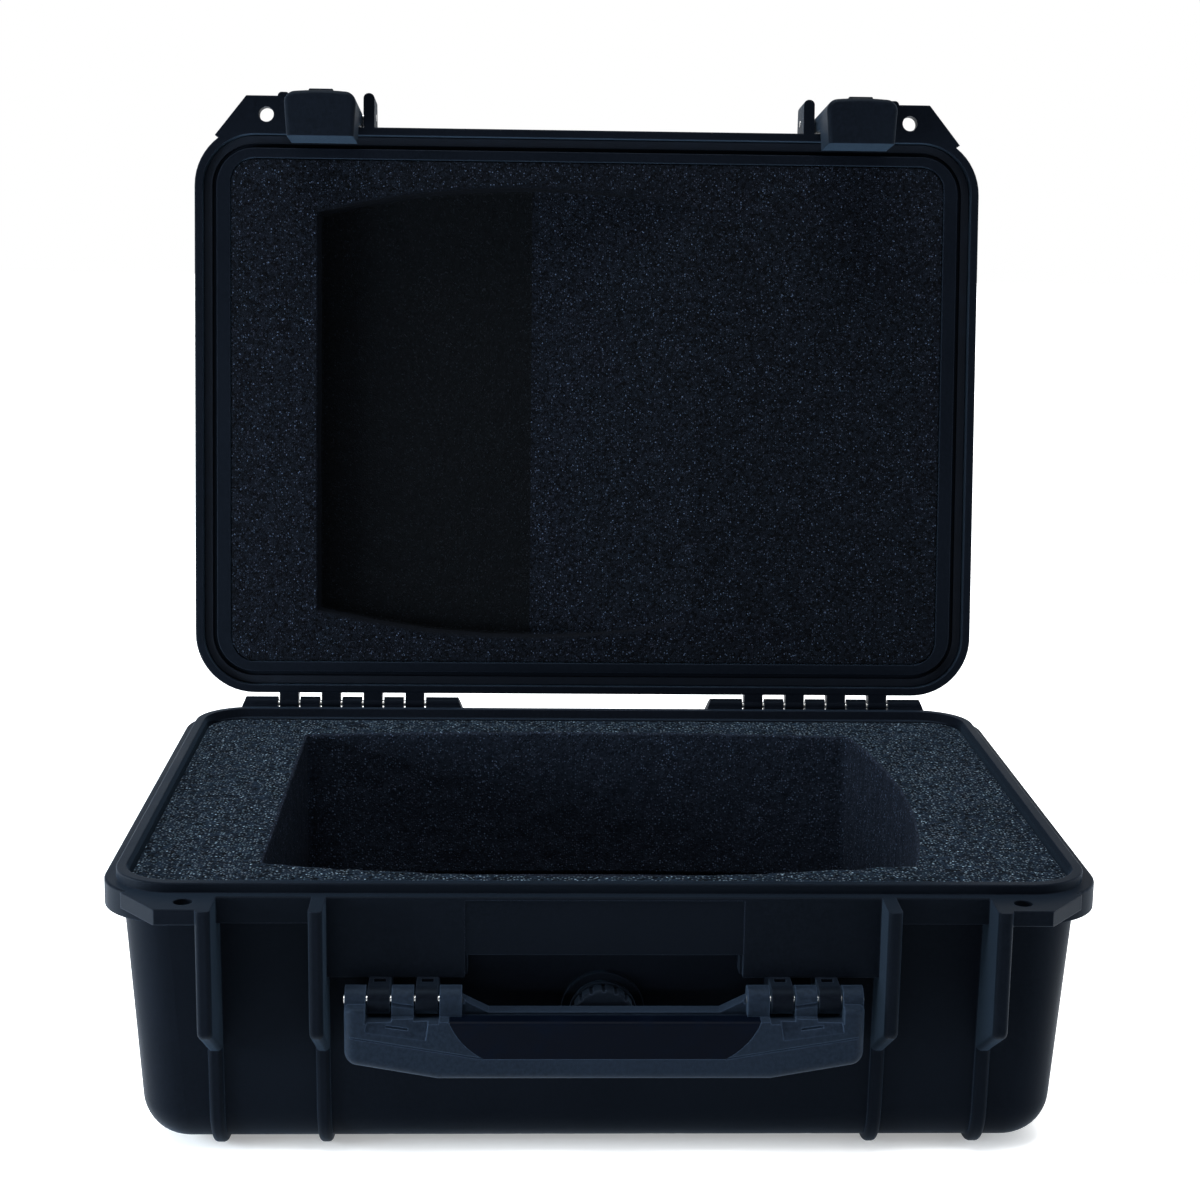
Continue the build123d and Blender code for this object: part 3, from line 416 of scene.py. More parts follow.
RUBBER_LOOKS = {
    "grip rubber": RubberLook("grip", 0.6 * MM, 0.50, 0.022),
    "ring rubber": RubberLook("seal", 0.4 * MM, 0.50, 0.08),
    "seal rubber": RubberLook("seal", 0.5 * MM, 0.62, 0.04),
}


def plastic(name):
    """One of the moulded plastics."""
    colours, look = settings()[0], PLASTIC_LOOKS[name]
    shade, grain = paler(getattr(colours, look.colour), look.tone), getattr(colours, look.grain)
    return moulded_plastic(name, shade, grain, look.depth, look.roughness, look.gloss, look.mottle)


def rubber(name):
    """One of the rubbers."""
    colours, look = settings()[0], RUBBER_LOOKS[name]
    return soft_rubber(name, tuple(getattr(colours, look.colour)), look.grain, look.roughness, look.gloss)


def steel(name):
    """Drawn steel for one group of pins."""
    return drawn_steel(name, tuple(settings()[0].steel))


# ---------------------------------------------------------------- outlines and rings of the foam


# How finely the foam is cut: distance between points, points around, and rings over each face
POINT_STEP = 0.4 * MM
EDGE_RINGS = 6
BASE_AROUND, BASE_WALL_RINGS, BASE_TOP_RINGS, POCKET_RINGS = 1150, 24, 26, 34
PAD_AROUND, PAD_TOP_RINGS, PAD_UNDER_RINGS = 720, 84, 12
RECESS_COUNT, RECESS_WALL_RINGS, LID_FACE_RINGS, LID_BACK_RINGS = 150, 14, 46, 10
SIDE_RINGS, BOTTOM_RINGS = 8, 9

# Near the shells the foam keeps its shape: how far from them it starts to be uneven, and over what length
CALM_BORDER, CALM_FADE = 3 * MM, 4 * MM

# The foam's front keeps its shape round the valve's nut, and its dent fades out over this length
NUT_CALM_HALF, NUT_CALM_BACK, NUT_FADE = 30 * MM, -170 * MM, 3 * MM
FRONT_DEPTH, FRONT_CALM = 12 * MM, 4 * MM

# The same at the base foam's underside, at the lid foam's back, and at the ends and on the sides of the floor pad
UNDER_CALM, BACK_CALM, PAD_CALM, PAD_FACE = 1 * MM, 2 * MM, 8 * MM, 0.2 * MM

# Neighbours that ease the pocket's corners, the pad's smallest corner, and the most of the recess's depth that
# its soft edge takes up where the ramp runs out
POCKET_EASE, SMALLEST_PAD_CORNER, SHALLOW_EDGE = 2, 4 * MM, 0.8


def line(start, end):
    """Points from start up to, but without, end."""
    start, end = np.array(start, float), np.array(end, float)
    count = max(2, int(np.linalg.norm(end - start) / POINT_STEP))
    return start + (end - start) * np.linspace(0, 1, count, endpoint=False)[:, None]


def bow(start, peak, end):
    """Points on the arc through start, peak and end, without end."""
    (ax, ay), (bx, by), (cx, cy) = start, peak, end
    turn = 2 * (ax * (by - cy) + bx * (cy - ay) + cx * (ay - by))
    if abs(turn) < 1e-12:
        return line(start, end)
    a2, b2, c2 = ax * ax + ay * ay, bx * bx + by * by, cx * cx + cy * cy
    middle = np.array(
        [
            (a2 * (by - cy) + b2 * (cy - ay) + c2 * (ay - by)) / turn,
            (a2 * (cx - bx) + b2 * (ax - cx) + c2 * (bx - ax)) / turn,
        ]
    )
    radius = np.linalg.norm(np.array(start) - middle)
    first = math.atan2(ay - middle[1], ax - middle[0])
    last = math.atan2(cy - middle[1], cx - middle[0])
    sweep = (last - first + math.pi) % (2 * math.pi) - math.pi
    count = max(2, int(abs(sweep) * radius / POINT_STEP))
    angles = first + sweep * np.linspace(0, 1, count, endpoint=False)
    return middle + radius * np.column_stack([np.cos(angles), np.sin(angles)])


def bowed_sides(left, right, left_half, right_half, low_bow, high_bow, right_bow):
    """The four sides of a pocket, walked anticlockwise from its lower left corner. Only the left side is straight."""
    middle = (left + right) / 2
    return [
        bow((left, -left_half), (middle, -left_half - low_bow), (right, -right_half)),
        bow((right, -right_half), (right + right_bow, 0.0), (right, right_half)),
        bow((right, right_half), (middle, left_half + high_bow), (left, left_half)),
        line((left, left_half), (left, -left_half)),
    ]


def rounded_box_outline(half_x, half_y, radius):
    """A rectangle with rounded corners, walked anticlockwise."""
    walk = []
    count = max(3, int(radius * math.pi / 2 / POINT_STEP))
    for sx, sy, start in ((1, -1, -90), (1, 1, 0), (-1, 1, 90), (-1, -1, 180)):
        cx, cy = sx * (half_x - radius), sy * (half_y - radius)
        angles = np.radians(start + 90 * np.linspace(0, 1, count))
        walk.append(np.column_stack([cx + radius * np.cos(angles), cy + radius * np.sin(angles)]))
    corners = np.vstack(walk)
    points = []
    for a, b in zip(corners, np.roll(corners, -1, axis=0)):
        points.append(line(a, b) if np.linalg.norm(b - a) > 2 * POINT_STEP else a[None])
    return np.vstack(points)


def at_bearings(outline, middle, bearings):
    """Where rays from the middle, at these bearings, cross the outline."""
    away = outline - middle
    bearing = np.arctan2(away[:, 1], away[:, 0])
    reach = np.hypot(away[:, 0], away[:, 1])
    order = np.argsort(bearing)
    reach = np.interp(bearings, bearing[order], reach[order], period=2 * math.pi)
    return middle + reach[:, None] * np.column_stack([np.cos(bearings), np.sin(bearings)])


def eased(points, width):
    """A closed line of points with its corners eased over a few neighbours."""
    total = np.zeros_like(points)
    for shift in range(-width, width + 1):
        total += np.roll(points, shift, axis=0)
    return total / (2 * width + 1)


def ring(points, height):
    """A closed line of points at one height, or at a height for each point."""
    return np.column_stack([points, np.broadcast_to(height, len(points))])


def quarter(count):
    """Sine and cosine of a quarter turn in even steps."""
    turn = np.linspace(0, math.pi / 2, count)
    return list(zip(np.sin(turn), np.cos(turn)))


def band_faces(first, second):
    """Quads between two rings of point numbers."""
    return [
        (first[i], first[i + 1 - len(first)], second[i + 1 - len(second)], second[i]) for i in range(len(first))
    ]


def fan_faces(rim, tip):
    """Triangles from a ring of point numbers to one point."""
    return [(int(rim[i]), int(rim[(i + 1) % len(rim)]), tip) for i in range(len(rim))]


def shrunk_box(half, corner, shrink, centre, bearings, smallest=0.0):
    """A rounded box's outline made smaller all round, with a point at each bearing from the centre."""
    walk = rounded_box_outline(half[0] - shrink, half[1] - shrink, max(corner - shrink, smallest))
    return at_bearings(walk, centre, bearings)


def box_parts(box):
    """A box's lowest and highest corners, its middle and its half sizes."""
    low, high = (np.array(corner) for corner in box)
    return low, high, (low + high) / 2, (high - low) / 2


def full_turn(count):
    """Bearings all round, in even steps."""
    return np.linspace(-math.pi, math.pi, count, endpoint=False)


def inside_share(place, middle, half, border):
    """0 next to the shells, and 1 well inside them."""
    inside_x = half[0] - border - abs(place.x - middle[0])
    inside_y = half[1] - border - abs(place.y - middle[1])
    return float(min(1.0, max(0.0, min(inside_x, inside_y) / CALM_FADE)))


def foam_piece(name, points, faces, finishes, face_finish):
    """A closed mesh with smooth shading and one finish for each face."""
    mesh = bpy.data.meshes.new(name)
    mesh.from_pydata([tuple(p) for p in points], [], faces)
    mesh.polygons.foreach_set("material_index", np.array(face_finish, dtype=np.int32))
    mesh.polygons.foreach_set("use_smooth", np.ones(len(faces), dtype=bool))
    for finish in finishes:
        mesh.materials.append(finish)
    piece = bpy.data.objects.new(name, mesh)
    bpy.context.scene.collection.objects.link(piece)
    work = bmesh.new()
    work.from_mesh(mesh)
    bmesh.ops.remove_doubles(work, verts=work.verts, dist=1e-6)
    bmesh.ops.recalc_face_normals(work, faces=work.faces)
    open_edges = sum(1 for edge in work.edges if len(edge.link_faces) != 2)
    work.to_mesh(mesh)
    work.free()
    if open_edges:
        raise RuntimeError(f"{name} isn't closed: {open_edges} edges")
    return piece


# Waves of the foam's faces: how many to the metre, and their share of the height
WAVES = ((95.0, 0.55), (260.0, 0.30), (620.0, 0.15))


def ruffle(piece, amount, free):
    """Moves each vertex along its normal by soft noise. free(place) is 0 where the surface has to stay."""
    mesh = piece.data
    moved = []
    for vertex in mesh.vertices:
        place = vertex.co
        share = free(place)
        wave = sum(noise.noise(place * waves) * part for waves, part in WAVES)
        moved.append(place + vertex.normal * (amount * share * wave))
    for vertex, place in zip(mesh.vertices, moved):
        vertex.co = place
    mesh.update()


def closed_lid_box(node):
    """The box of a lid node with the lid shut, in the row frame."""
    turn = np.array(Matrix.Rotation(OPEN_ANGLE, 3, "X"))
    places = np.array([vertex.co for vertex in frame["nodes"][node].data.vertices])
    places = (places - HINGE_PLACE) @ turn.T + HINGE_PLACE
    return places.min(0), places.max(0)


# Foam by where it shows. cell names a size in the sidebar, contrast is 0 for an even sheet, tone and tint change
# the foam's colour, relief is a depth, sparse is the share of cells without a grain, and warmth reddens the grains
FoamLook = namedtuple("FoamLook", "cell contrast tone tint relief sparse warmth")
FOAM_LOOKS = {
    "top of the base": FoamLook("base_cell", 2.5, 0.62, (0.74, 0.95, 1.0), 0.5 * MM, 0.15, 0.26),
    "walls of the pocket": FoamLook("lid_cell", 0.8, 0.75, (1.0, 1.0, 1.0), 0.3 * MM, 0.45, 0.0),
    "face of the lid": FoamLook("lid_cell", 1.2, 0.215, (1.0, 1.0, 1.0), 0.3 * MM, 0.45, 0.0),
    # The recess's walls have a smoother cut finish and are painted darker than the face, as shade in the recess
    "walls of the recess": FoamLook("lid_cell", 0.5, 0.15, (1.0, 1.0, 1.0), 0.2 * MM, 0.45, 0.0),
    # The recess's flat floor is darker and more neutral than the lid's face: painted shade in the recess
    "sheet in the recess": FoamLook("lid_cell", 0.60, 0.125, (1.0, 0.92, 0.76), 0.2 * MM, 0.45, 0.0),
}


def foam_finish(kind):
    """One of the foam's finishes, by where it shows."""
    known = bpy.data.materials.get("foam " + kind)
    if known:
        return known
    colours, look = settings()[0], FOAM_LOOKS[kind]
    shade = tuple(part * share for part, share in zip(paler(colours.foam, look.tone), look.tint))
    return charcoal_foam("foam " + kind, shade, getattr(colours, look.cell), look)


# ---------------------------------------------------------------- one operator for each piece or group


class CASE_OT_shells(bpy.types.Operator):
    """Dresses the moulded base and lid"""

    bl_idname = "carry_case.shells"
    bl_label = "Base and Lid Shells"
    bl_options = {"REGISTER", "UNDO"}

    def execute(self, context):
        wear(("base_shell", "lid_shell"), plastic("case plastic"))
        return {"FINISHED"}


class CASE_OT_latches(bpy.types.Operator):
    """Dresses the two latches with their buttons and pins"""

    bl_idname = "carry_case.latches"
    bl_label = "Latches"
    bl_options = {"REGISTER", "UNDO"}

    def execute(self, context):
        wear(("latch_left_lever", "latch_right_lever"), plastic("latch plastic"))
        wear(("latch_left_button", "latch_right_button"), plastic("button plastic"))
        wear(("latch_left_pin", "latch_right_pin"), steel("latch steel"))
        return {"FINISHED"}


class CASE_OT_handle(bpy.types.Operator):
    """Dresses the handle: frame, soft grip and pins"""

    bl_idname = "carry_case.handle"
    bl_label = "Handle"
    bl_options = {"REGISTER", "UNDO"}

    def execute(self, context):
        wear(("handle_frame",), plastic("handle plastic"))
        wear(("handle_grip",), rubber("grip rubber"))
        wear(("handle_pin_left", "handle_pin_right"), steel("handle steel"))
        return {"FINISHED"}


class CASE_OT_hinge_pins(bpy.types.Operator):
    """Dresses the two hinge rods"""

    bl_idname = "carry_case.hinge_pins"
    bl_label = "Hinge Pins"
    bl_options = {"REGISTER", "UNDO"}

    def execute(self, context):
        wear(("hinge_pin_left", "hinge_pin_right"), steel("hinge steel"))
        return {"FINISHED"}


class CASE_OT_valve(bpy.types.Operator):
    """Dresses the pressure valve: body, knob, nut and ring"""

    bl_idname = "carry_case.valve"
    bl_label = "Pressure Valve"
    bl_options = {"REGISTER", "UNDO"}

    def execute(self, context):
        wear(("valve_body", "valve_nut"), plastic("valve plastic"))
        wear(("valve_knob",), plastic("knob plastic"))
        wear(("valve_o_ring",), rubber("ring rubber"))
        return {"FINISHED"}


class CASE_OT_seal(bpy.types.Operator):
    """Dresses the rubber seal in the lid"""

    bl_idname = "carry_case.seal"
    bl_label = "Lid Seal"
    bl_options = {"REGISTER", "UNDO"}

    def execute(self, context):
        wear(("lid_gasket",), rubber("seal rubber"))
        return {"FINISHED"}


def base_foam_rings(form, low, high, half, bearings):
    """Rings up the outside of the base's foam, over its top and down the pocket, and each one's finish."""
    centre, slope = np.zeros(2), math.tan(form.draft)
    clear, edge, cut = form.clear, form.rim_edge, form.cut_edge
    sides = bowed_sides(
        -form.pocket_left,
        form.pocket_right,
        form.pocket_half,
        form.pocket_half,
        form.pocket_front_bow,
        form.pocket_back_bow,
        form.pocket_right_bow,
    )
    pocket = eased(at_bearings(np.vstack(sides), centre, bearings), POCKET_EASE)
    out = pocket / np.linalg.norm(pocket, axis=1)[:, None]

    def outer(height, inset):
        return shrunk_box(half, form.corner, slope * (high[2] - height) + inset, centre, bearings)

    wall_top = high[2] - edge
    rings = [ring(outer(height, clear), height) for height in np.linspace(low[2] + clear, wall_top, BASE_WALL_RINGS)]
    for rise, inward in quarter(EDGE_RINGS)[1:]:
        height = wall_top + edge * rise
        rings.append(ring(outer(height, clear + edge * (1 - inward)), height))
    rim, lip = rings[-1][:, :2], pocket + out * cut
    for share in np.linspace(0, 1, BASE_TOP_RINGS)[1:]:
        rings.append(ring(rim + (lip - rim) * share, high[2]))
    shown_from_above = len(rings)
    for inward, rise in quarter(EDGE_RINGS)[1:]:
        rings.append(ring(pocket + out * cut * (1 - inward), high[2] - cut + cut * rise))
    for height in np.linspace(high[2] - cut, low[2] + clear, POCKET_RINGS)[1:]:
        rings.append(ring(pocket, height))
    return rings, [0] * shown_from_above + [1] * (len(rings) - shown_from_above)


def dent_for_nut(points, front, form):
    """Presses these points of the foam's outside in where the valve's nut is."""
    _, high, middle, half = box_parts(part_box("valve_nut"))
    away = np.hypot(points[:, 0] - middle[0], points[:, 2] - middle[2])
    share = np.clip((half[0] + form.nut_room - away) / NUT_FADE, 0, 1) * (points[:, 1] < front + FRONT_DEPTH)
    points[:, 1] += share * np.maximum(0, high[1] + form.nut_gap - points[:, 1])


class CASE_OT_base_foam(bpy.types.Operator):
    """Makes the foam block of the base, with the pocket cut through it"""

    bl_idname = "carry_case.base_foam"
    bl_label = "Base Foam"
    bl_options = {"REGISTER", "UNDO"}

    def execute(self, context):
        form = settings()[1]
        low, high, middle, half = box_parts(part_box("base_foam"))
        slope = math.tan(form.draft)
        rings, finish = base_foam_rings(form, low, high, half, full_turn(BASE_AROUND))
        points = np.vstack(rings) + [middle[0], middle[1], 0.0]
        dent_for_nut(points[: BASE_WALL_RINGS * BASE_AROUND], low[1], form)
        numbers = np.arange(len(points)).reshape(len(rings), BASE_AROUND)
        faces, face_finish = [], []
        for here, after, kind in zip(numbers, np.roll(numbers, -1, axis=0), finish[1:] + finish[:1]):
            faces += band_faces(here.tolist(), after.tolist())
            face_finish += [kind] * BASE_AROUND
        finishes = [foam_finish("top of the base"), foam_finish("walls of the pocket")]
        piece = foam_piece("base_foam_block", points, faces, finishes, face_finish)

        def free(place):
            near_nut = abs(place.x) < NUT_CALM_HALF and place.y < NUT_CALM_BACK
            if place.y < low[1] + FRONT_CALM or place.z < low[2] + UNDER_CALM or near_nut:
                return 0.0
            return inside_share(place, middle, half, CALM_BORDER + slope * (high[2] - place.z))

        ruffle(piece, form.base_waves, free)
        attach(piece, "base")
        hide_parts("base_foam")
        return {"FINISHED"}


def floor_pad_rings(form, lowest, highest, high, half, bearings):
    """Rings from the middle of the pad's top over its edge and round to the middle underneath."""
    slope = math.tan(form.draft)
    corner = form.corner - slope * (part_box("base_foam")[1][2] - high[2])
    clear, edge, cut = form.pad_clear, form.pad_edge, form.cut_edge

    def outer(height, inset):
        shrink = slope * (high[2] - height) + inset
        return shrunk_box(half, corner, shrink, np.zeros(2), bearings, SMALLEST_PAD_CORNER)

    top = outer(highest, clear + cut)
    rings = [ring(top * share, highest) for share in np.linspace(0, 1, PAD_TOP_RINGS)[1:-1]]
    for inward, rise in quarter(EDGE_RINGS - 1):
        rings.append(ring(outer(highest, clear + cut * (1 - inward)), highest - cut + cut * rise))
    for height in np.linspace(highest - cut, lowest + edge, SIDE_RINGS)[1:]:
        rings.append(ring(outer(height, clear), height))
    for drop, inward in quarter(BOTTOM_RINGS)[1:]:
        rings.append(ring(outer(lowest + edge, clear + edge * (1 - inward)), lowest + edge - edge * drop))
    under = rings[-1][:, :2]
    return rings + [ring(under * share, lowest) for share in np.linspace(1, 0, PAD_UNDER_RINGS)[1:-1]]


class CASE_OT_floor_pad(bpy.types.Operator):
    """Makes the foam pad under the pocket"""

    bl_idname = "carry_case.floor_pad"
    bl_label = "Floor Pad"
    bl_options = {"REGISTER", "UNDO"}

    def execute(self, context):
        form = settings()[1]
        low, high, middle, half = box_parts(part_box("base_floor_pad"))
        lowest, highest = low[2] + form.pad_clear, high[2] - form.pad_clear
        rings = floor_pad_rings(form, lowest, highest, high, half, full_turn(PAD_AROUND))
        points = np.vstack(rings + [[[0, 0, highest], [0, 0, lowest]]]) + [middle[0], middle[1], 0.0]
        numbers = np.arange(len(rings) * PAD_AROUND).reshape(len(rings), PAD_AROUND)
        faces = []
        for here, after in zip(numbers[:-1], numbers[1:]):
            faces += band_faces(here.tolist(), after.tolist())
        faces += fan_faces(numbers[0], len(points) - 2) + fan_faces(numbers[-1], len(points) - 1)
        piece = foam_piece("base_floor_sheet", points, faces, [foam_finish("walls of the pocket")], [0] * len(faces))

        def free(place):
            return 1.0 if place.z > highest - PAD_FACE and abs(place.x) < half[0] - PAD_CALM else 0.0

        ruffle(piece, form.pad_waves, free)
        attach(piece, "base")
        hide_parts("base_floor_pad")
        return {"FINISHED"}


def recess_floor(form, face):
    """The recess's floor as a grid of points, and how many of its rows are flat before the ramp."""
    left, right, step_x = -form.recess_left, form.recess_right, -form.recess_step
    wide = form.recess_half + form.recess_flare
    sides = bowed_sides(left, right, form.recess_half, wide, form.recess_bow, form.recess_bow, 0.0)
    flat_rows = round(RECESS_COUNT * (step_x - left) / (right - left))
    flat_part = np.linspace(left, step_x, flat_rows + 1)
    along = np.concatenate([flat_part, np.linspace(step_x, right, RECESS_COUNT - flat_rows + 1)[1:]])
    low_side = np.interp(along, sides[0][:, 0], sides[0][:, 1])
    high_walk = sides[2][::-1]
    high_side = np.interp(along, high_walk[:, 0], high_walk[:, 1])
    low_side[-1], high_side[-1] = -wide, wide
    high_side[0] = form.recess_half
    depth = np.interp(along, [left, step_x, right], [form.recess_depth, form.recess_depth, 0.0])
    across = np.linspace(0, 1, RECESS_COUNT + 1)
    grid_y = low_side[:, None] + (high_side - low_side)[:, None] * across
    grid_x, grid_z = (np.broadcast_to(row[:, None], grid_y.shape) for row in (along, face + depth))
    return np.stack([grid_x, grid_y, grid_z], axis=-1), flat_rows


def lid_foam_rings(form, mouth, centre, face, top, half):
    """Rings up the recess's walls, over the foam's face, down its sides and over its back, and each one's finish."""
    outline, depth = mouth[:, :2], mouth[:, 2] - face
    out = outline - centre
    out /= np.linalg.norm(out, axis=1)[:, None]
    bearings = np.arctan2((outline - centre)[:, 1], (outline - centre)[:, 0])
    clear, edge, cut = form.clear, form.rim_edge, np.minimum(form.cut_edge, depth * SHALLOW_EDGE)

    def outer(inset):
        return shrunk_box(half, form.lid_corner, inset, centre, bearings)

    rings = [ring(outline, face + depth + (cut - depth) * share) for share in np.linspace(0, 1, RECESS_WALL_RINGS)[1:]]
    for drop, inward in quarter(EDGE_RINGS)[1:]:
        rings.append(ring(outline + out * (cut * (1 - inward))[:, None], face + cut * (1 - drop)))
    wall_count = len(rings)
    lip, rim = rings[-1][:, :2], outer(clear + edge)
    for share in np.linspace(0, 1, LID_FACE_RINGS)[1:]:
        rings.append(ring(lip + (rim - lip) * share, face))
    for inward, drop in quarter(EDGE_RINGS)[1:]:
        rings.append(ring(outer(clear + edge * (1 - inward)), face + edge * (1 - drop)))
    for height in np.linspace(face + edge, top - form.lid_edge, SIDE_RINGS)[1:]:
        rings.append(ring(outer(clear), height))
    for rise, inward in quarter(BOTTOM_RINGS)[1:]:
        rings.append(ring(outer(clear + form.lid_edge * (1 - inward)), top - form.lid_edge * (1 - rise)))
    back = rings[-1][:, :2]
    for share in np.linspace(1, 0, LID_BACK_RINGS)[1:-1]:
        rings.append(ring(centre + (back - centre) * share, top))
    return rings, [1] * wall_count + [0] * (len(rings) - wall_count)


class CASE_OT_lid_foam(bpy.types.Operator):
    """Makes the lid's foam, with its flat recess and the ramp out of it"""

    bl_idname = "carry_case.lid_foam"
    bl_label = "Lid Foam"
    bl_options = {"REGISTER", "UNDO"}

    def execute(self, context):
        form = settings()[1]
        low, high, middle, half = box_parts(closed_lid_box("lid_foam"))
        top = high[2] - form.clear
        floor, flat_rows = recess_floor(form, low[2])
        number = np.arange(floor.shape[0] * floor.shape[1]).reshape(floor.shape[:2])
        faces, face_finish = [], []
        for i, (row, after) in enumerate(zip(number[:-1].tolist(), number[1:].tolist())):
            faces += [(row[j], after[j], after[j + 1], row[j + 1]) for j in range(len(row) - 1)]
            # The recess's flat rows take the darker foam with painted shade, the ramp takes the face's foam
            face_finish += [2 if i < flat_rows else 0] * (len(row) - 1)
        flat = floor.reshape(-1, 3)
        walk = np.concatenate([number[:, 0], number[-1, 1:], number[-2::-1, -1], number[0, -2:0:-1]])
        centre = np.array([(form.recess_right - form.recess_left) / 2, 0.0])
        rings, finish = lid_foam_rings(form, flat[walk], centre, low[2], top, half)
        numbers = len(flat) + np.arange(len(rings) * len(walk)).reshape(len(rings), len(walk))
        for here, after, kind in zip([walk, *numbers[:-1]], numbers, finish):
            faces += band_faces(here.tolist(), after.tolist())
            face_finish += [kind] * len(walk)
        points = np.vstack([flat, *rings, [[centre[0], centre[1], top]]]) + [middle[0], middle[1], 0.0]
        faces += fan_faces(numbers[-1], len(points) - 1)
        face_finish += [0] * len(walk)
        finishes = [foam_finish(kind) for kind in ("face of the lid", "walls of the recess", "sheet in the recess")]
        piece = foam_piece("lid_foam_block", points, faces, finishes, face_finish)

        def free(place):
            return 0.0 if place.z > top - BACK_CALM else inside_share(place, middle, half, CALM_BORDER)

        ruffle(piece, form.lid_waves, free)
        swing = Matrix.Translation(Vector(HINGE_PLACE)) @ Matrix.Rotation(-OPEN_ANGLE, 4, "X")
        piece.data.transform(swing @ Matrix.Translation(-Vector(HINGE_PLACE)))
        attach(piece, "lid")
        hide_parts("lid_foam")
        return {"FINISHED"}


# ---------------------------------------------------------------- stage


Lamp = namedtuple("Lamp", "name place aim width height power")
LAMPS = (
    Lamp("lamp left", (-0.95, -0.32, 0.14), (-0.15, -0.05, 0.14), 0.7, 0.5, 28.0),
    Lamp("lamp right", (1.05, -0.36, 0.16), (0.15, -0.05, 0.14), 0.7, 0.5, 8.0),
    Lamp("lamp front", (-0.50, -1.70, 0.06), (0.0, 0.0, 0.08), 1.4, 0.10, 9.0),
)
LAMP_SHADE = (0.80, 0.91, 1.0)
ABOVE_SHADE = (0.94, 0.97, 1.0)
ABOVE_DIRECTION = Vector((0.12, 0.15, -1.0))
SENSOR_WIDTH = 36.0
FARTHEST_SEEN = 100.0

# The share of its lift that the floor keeps where the case touches it
CONTACT_SHARE = 0.33


def place_camera(scene, stage):
    """The camera of the photograph's view."""
    turn, dip, roll = stage.camera_turn, stage.camera_dip, stage.camera_roll
    ahead = Matrix.Rotation(turn, 3, "Z") @ Vector((0, math.cos(dip), -math.sin(dip)))
    right = Matrix.Rotation(turn, 3, "Z") @ Vector((1, 0, 0))
    up = right.cross(ahead)
    rolled_right = right * math.cos(roll) + up * math.sin(roll)
    rolled_up = up * math.cos(roll) - right * math.sin(roll)
    camera = bpy.data.objects.new("camera", bpy.data.cameras.new("camera"))
    camera.data.lens = stage.lens
    camera.data.sensor_width = SENSOR_WIDTH
    camera.data.clip_end = FARTHEST_SEEN
    camera.matrix_world = Matrix.Translation(stage.camera_place) @ Matrix(
        (rolled_right, rolled_up, -ahead)
    ).transposed().to_4x4()
    scene.collection.objects.link(camera)
    scene.camera = camera


def lay_floor(scene, stage):
    """A matt floor that shows white, but for the shadow next to the case."""
    half = stage.floor_size / 2
    mesh = bpy.data.meshes.new("floor")
    mesh.from_pydata([(-half, -half, 0), (half, -half, 0), (half, half, 0), (-half, half, 0)], [], [(0, 1, 2, 3)])
    floor = bpy.data.objects.new("floor", mesh)
    scene.collection.objects.link(floor)
    finish = Finish("pale floor", tuple(stage.floor_colour))
    path = finish.node("ShaderNodeLightPath").outputs
    seen = finish.join(finish.join(path["Is Camera Ray"], path["Is Glossy Ray"]), path["Is Transmission Ray"])
    matt = finish.node("ShaderNodeBsdfDiffuse", {"Color": (*stage.floor_colour, 1.0)}).outputs["BSDF"]
    open_room = finish.node("ShaderNodeAmbientOcclusion", {"Distance": stage.contact_reach}, samples=8).outputs["AO"]
    open_room = finish.ramp(open_room, 0.0, 1.0, CONTACT_SHARE, 1.0)
    strength = finish.join(finish.join(seen, stage.floor_lift, "MULTIPLY"), open_room, "MULTIPLY")
    lift = finish.node("ShaderNodeEmission", {"Strength": strength}).outputs["Emission"]
    both = finish.node("ShaderNodeAddShader", {0: matt, 1: lift}).outputs["Shader"]
    finish.node("ShaderNodeOutputMaterial", {"Surface": both})
    mesh.materials.append(finish.material)


def light_room(scene, stage):
    """A world that shows white and lights softly."""
    world = bpy.data.worlds.new("soft room")
    world.use_nodes = True
    tree = world.node_tree
    tree.nodes.clear()

    def node(kind, inputs, **options):
        made = tree.nodes.new(kind)
        for name, value in options.items():
            setattr(made, name, value)
        for name, value in inputs.items():
            if isinstance(value, bpy.types.NodeSocket):
                tree.links.new(value, made.inputs[name])
            else:
                made.inputs[name].default_value = value
        return made.outputs

    path = node("ShaderNodeLightPath", {})
    seen = node("ShaderNodeMath", {0: path["Is Camera Ray"], 1: path["Is Glossy Ray"]}, operation="ADD")[0]
    seen = node("ShaderNodeMath", {0: seen, 1: path["Is Transmission Ray"]}, operation="ADD", use_clamp=True)[0]
    room = node("ShaderNodeBackground", {"Color": (*stage.sky_colour, 1.0), "Strength": stage.sky_strength})[0]
    white = node("ShaderNodeBackground", {"Color": (1.0, 1.0, 1.0, 1.0), "Strength": 1.0})[0]
    both = node("ShaderNodeMixShader", {0: seen, 1: room, 2: white})[0]
    node("ShaderNodeOutputWorld", {"Surface": both})
    scene.world = world


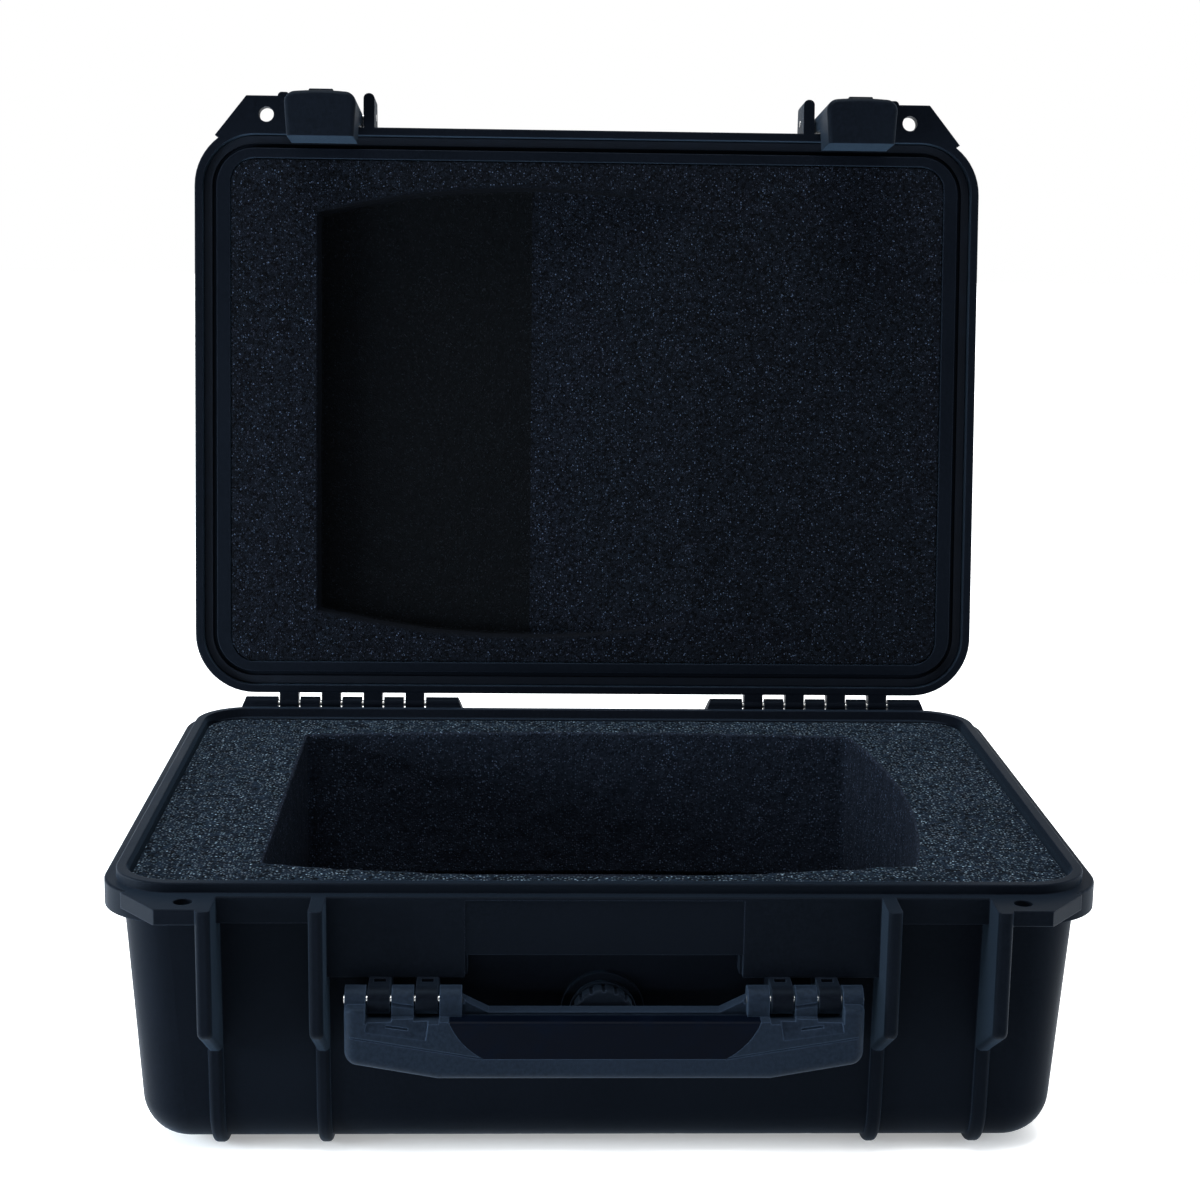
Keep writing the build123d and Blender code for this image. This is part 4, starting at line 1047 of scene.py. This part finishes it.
def hang_lamps(scene, stage):
    """Three soft lamps about the case, and an even light from above."""
    for row in LAMPS:
        lamp = bpy.data.objects.new(row.name, bpy.data.lights.new(row.name, "AREA"))
        lamp.data.shape = "RECTANGLE"
        lamp.data.size, lamp.data.size_y = row.width, row.height
        lamp.data.energy = row.power
        lamp.data.color = LAMP_SHADE
        lamp.location = row.place
        lamp.visible_camera = False
        lamp.rotation_euler = (Vector(row.aim) - Vector(row.place)).to_track_quat("-Z", "Y").to_euler()
        scene.collection.objects.link(lamp)
    above = bpy.data.objects.new("light above", bpy.data.lights.new("light above", "SUN"))
    above.data.energy = stage.above_strength
    above.data.angle = stage.above_spread
    above.data.color = ABOVE_SHADE
    above.rotation_euler = ABOVE_DIRECTION.to_track_quat("-Z", "Y").to_euler()
    scene.collection.objects.link(above)


class CASE_OT_stage(bpy.types.Operator):
    """Sets the camera, the lamps, the pale floor and the white background"""

    bl_idname = "carry_case.stage"
    bl_label = "Stage"
    bl_options = {"REGISTER", "UNDO"}

    def execute(self, context):
        scene, stage = context.scene, settings()[2]
        scene.view_settings.view_transform = "Standard"
        place_camera(scene, stage)
        lay_floor(scene, stage)
        light_room(scene, stage)
        hang_lamps(scene, stage)
        return {"FINISHED"}


class CASE_PT_sidebar(bpy.types.Panel):
    """Lists the case's pieces and its stage"""

    bl_idname = "CASE_PT_sidebar"
    bl_label = "Carry Case"
    bl_space_type = "VIEW_3D"
    bl_region_type = "UI"
    bl_category = "Carry Case"

    def draw(self, context):
        column = self.layout.column(align=True)
        for operator in OPERATORS:
            column.operator(operator.bl_idname)
        for title, group in zip(("Finish", "Foam", "Stage"), settings()):
            box = self.layout.box()
            box.label(text=title)
            for name in group.__annotations__:
                box.prop(group, name)


OPERATORS = (
    CASE_OT_shells,
    CASE_OT_latches,
    CASE_OT_handle,
    CASE_OT_hinge_pins,
    CASE_OT_valve,
    CASE_OT_seal,
    CASE_OT_base_foam,
    CASE_OT_floor_pad,
    CASE_OT_lid_foam,
    CASE_OT_stage,
)
GROUPS = (
    ("carry_case_finish", CASE_PG_finish),
    ("carry_case_foam", CASE_PG_foam),
    ("carry_case_stage", CASE_PG_stage),
)


def register():
    for name, group in GROUPS:
        bpy.utils.register_class(group)
        setattr(bpy.types.Scene, name, PointerProperty(type=group))
    for operator in OPERATORS:
        bpy.utils.register_class(operator)
    bpy.utils.register_class(CASE_PT_sidebar)


def unregister():
    bpy.utils.unregister_class(CASE_PT_sidebar)
    for operator in reversed(OPERATORS):
        bpy.utils.unregister_class(operator)
    for name, group in reversed(GROUPS):
        delattr(bpy.types.Scene, name)
        bpy.utils.unregister_class(group)


def main():
    register()
    for operator in OPERATORS:
        group, name = operator.bl_idname.split(".")
        getattr(getattr(bpy.ops, group), name)()


if __name__ == "__main__":
    main()
